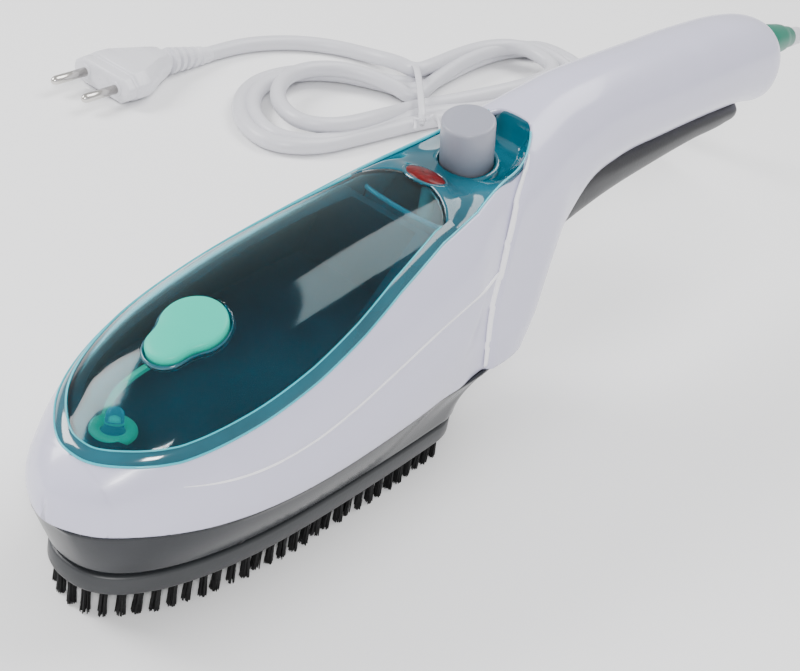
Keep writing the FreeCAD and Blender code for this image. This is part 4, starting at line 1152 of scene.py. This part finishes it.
def plug_mesh():
    """Moulded plug body: bevelled sections from its face back to the strain relief."""
    rings = []
    for back, half, thick, flat in PLUG_ROWS:
        edge = [(half, 0.55 * thick * 0.35), (half - 0.4, thick * 0.42), (flat + 0.6, thick - 0.25),
                (flat, thick)]
        corners = edge + [(-y, z) for y, z in reversed(edge)]
        corners += [(-y, -z) for y, z in edge] + [(y, -z) for y, z in reversed(edge)]
        rings.append([plug_point(back, y, PLUG_LEVEL + z) for y, z in corners])
    return loft(rings)


plug_shell = piece("plug_shell", plug_mesh(), PLUG, "steamer", "plug_white", "plug_body",
                   smooth=False)
bevel = plug_shell.modifiers.new("edges", "BEVEL")
bevel.width = 0.5 * MM
bevel.segments = 3
bevel.limit_method = "ANGLE"
bevel.angle_limit = radians(24)
apply_modifiers(plug_shell)
set_smooth(plug_shell.data)

for number, side in enumerate((-PIN_HALF_GAP, PIN_HALF_GAP)):
    start = plug_point(0.0, side, PLUG_LEVEL)
    metal = revolve([(-1, 2.0), (16.6, 2.0), (17.6, 1.75), (18.4, 1.3), (18.9, 0.7),
                     (PIN_LENGTH, 0)], start, HEADING, 28)
    piece("plug_pin_%d" % (number + 1), metal, PIN, "steamer", "pin_metal",
                      *(["plug_pins"] if number == 0 else []))
    foot = revolve([(-0.6, 3.4), (0.25, 3.3), (0.55, 2.9), (0.6, 2.1)], start, HEADING, 28)
    piece("pin_collar_%d" % (number + 1), foot, PLUG, "steamer", "plug_white")

# Strain relief: five ribs, each a little smaller than the one before, on a plain core.
RELIEF_CORE = 3.7
relief_profile = [(-1.0, 5.5), (1.0, 5.5)]
for k in range(5):
    at = 2.6 + 4.6 * k
    wide = 5.9 - 0.4 * k
    relief_profile += [(at, RELIEF_CORE), (at + 0.9, RELIEF_CORE), (at + 1.2, wide),
                       (at + 3.3, wide), (at + 3.6, RELIEF_CORE)]
relief_profile += [(26.6, 3.6), (27.2, 3.75), (29.0, 3.7), (29.4, 3.5)]
relief_start = plug_point(PLUG_LENGTH, 0, PLUG_LEVEL)
relief_axis = RELIEF_ROOT * MM - relief_start
relief = piece("plug_strain_relief", revolve(relief_profile, relief_start, relief_axis),
               PLUG, "steamer", "plug_white", "plug_relief", smooth=False)


# ------------------------ floor, light, camera

FLOOR_HALF = 6
floor_mesh = mesh_from([(x * FLOOR_HALF, y * FLOOR_HALF, 0)
                                 for x, y in ((-1, -1), (1, -1), (1, 1), (-1, 1))], [(0, 1, 2, 3)])
floor = bpy.data.objects.new("floor", floor_mesh)
floor_mesh.materials.append(FLOOR)
link(floor)

world = bpy.data.worlds.new("studio")
bpy.context.scene.world = world
world.use_nodes = True
sky = world.node_tree.nodes["Background"].inputs
sky["Color"].default_value = (1.0, 1.0, 1.0, 1.0)
sky["Strength"].default_value = 0.75


LIGHT_AIM = Vector((0, 0, 0.05))


def area_light(name, place, size, power):
    """White rectangular light, size metres on a side, that faces the object."""
    data = bpy.data.lights.new(name, "AREA")
    data.shape = "RECTANGLE"
    data.size = data.size_y = size
    data.energy = power
    obj = bpy.data.objects.new(name, data)
    obj.location = place
    obj.rotation_euler = (LIGHT_AIM - Vector(place)).to_track_quat("-Z", "Y").to_euler()
    link(obj)


area_light("key", (-0.85, -0.62, 0.85), 0.25, 11.0)
area_light("left", (-0.5, 0.9, 0.8), 0.5, 14.0)
area_light("top", (0.7, -0.1, 1.1), 0.8, 13.0)

AZIMUTH, ELEVATION, ROLL = (radians(a) for a in (-56.663, 32.938, 11.803))
DISTANCE, TARGET = 0.556, Vector((-0.0379, 0.0028, 0.0318))
back = Vector((sin(AZIMUTH) * cos(ELEVATION), -cos(AZIMUTH) * cos(ELEVATION),
               sin(ELEVATION)))
right = (-back).cross(Vector((0, 0, 1))).normalized()
up = right.cross(-back)
turned_right = right * cos(ROLL) + up * sin(ROLL)
turned_up = up * cos(ROLL) - right * sin(ROLL)
camera = bpy.data.objects.new("camera", bpy.data.cameras.new("camera"))
camera.data.sensor_width = 36.0
camera.data.lens = 76.5
camera.data.clip_start = 0.01
camera.matrix_world = Matrix.Translation(TARGET + back * DISTANCE) @ Matrix(
    (turned_right, turned_up, back)).transposed().to_4x4()
link(camera)
bpy.context.scene.camera = camera

bpy.context.view_layer.update()
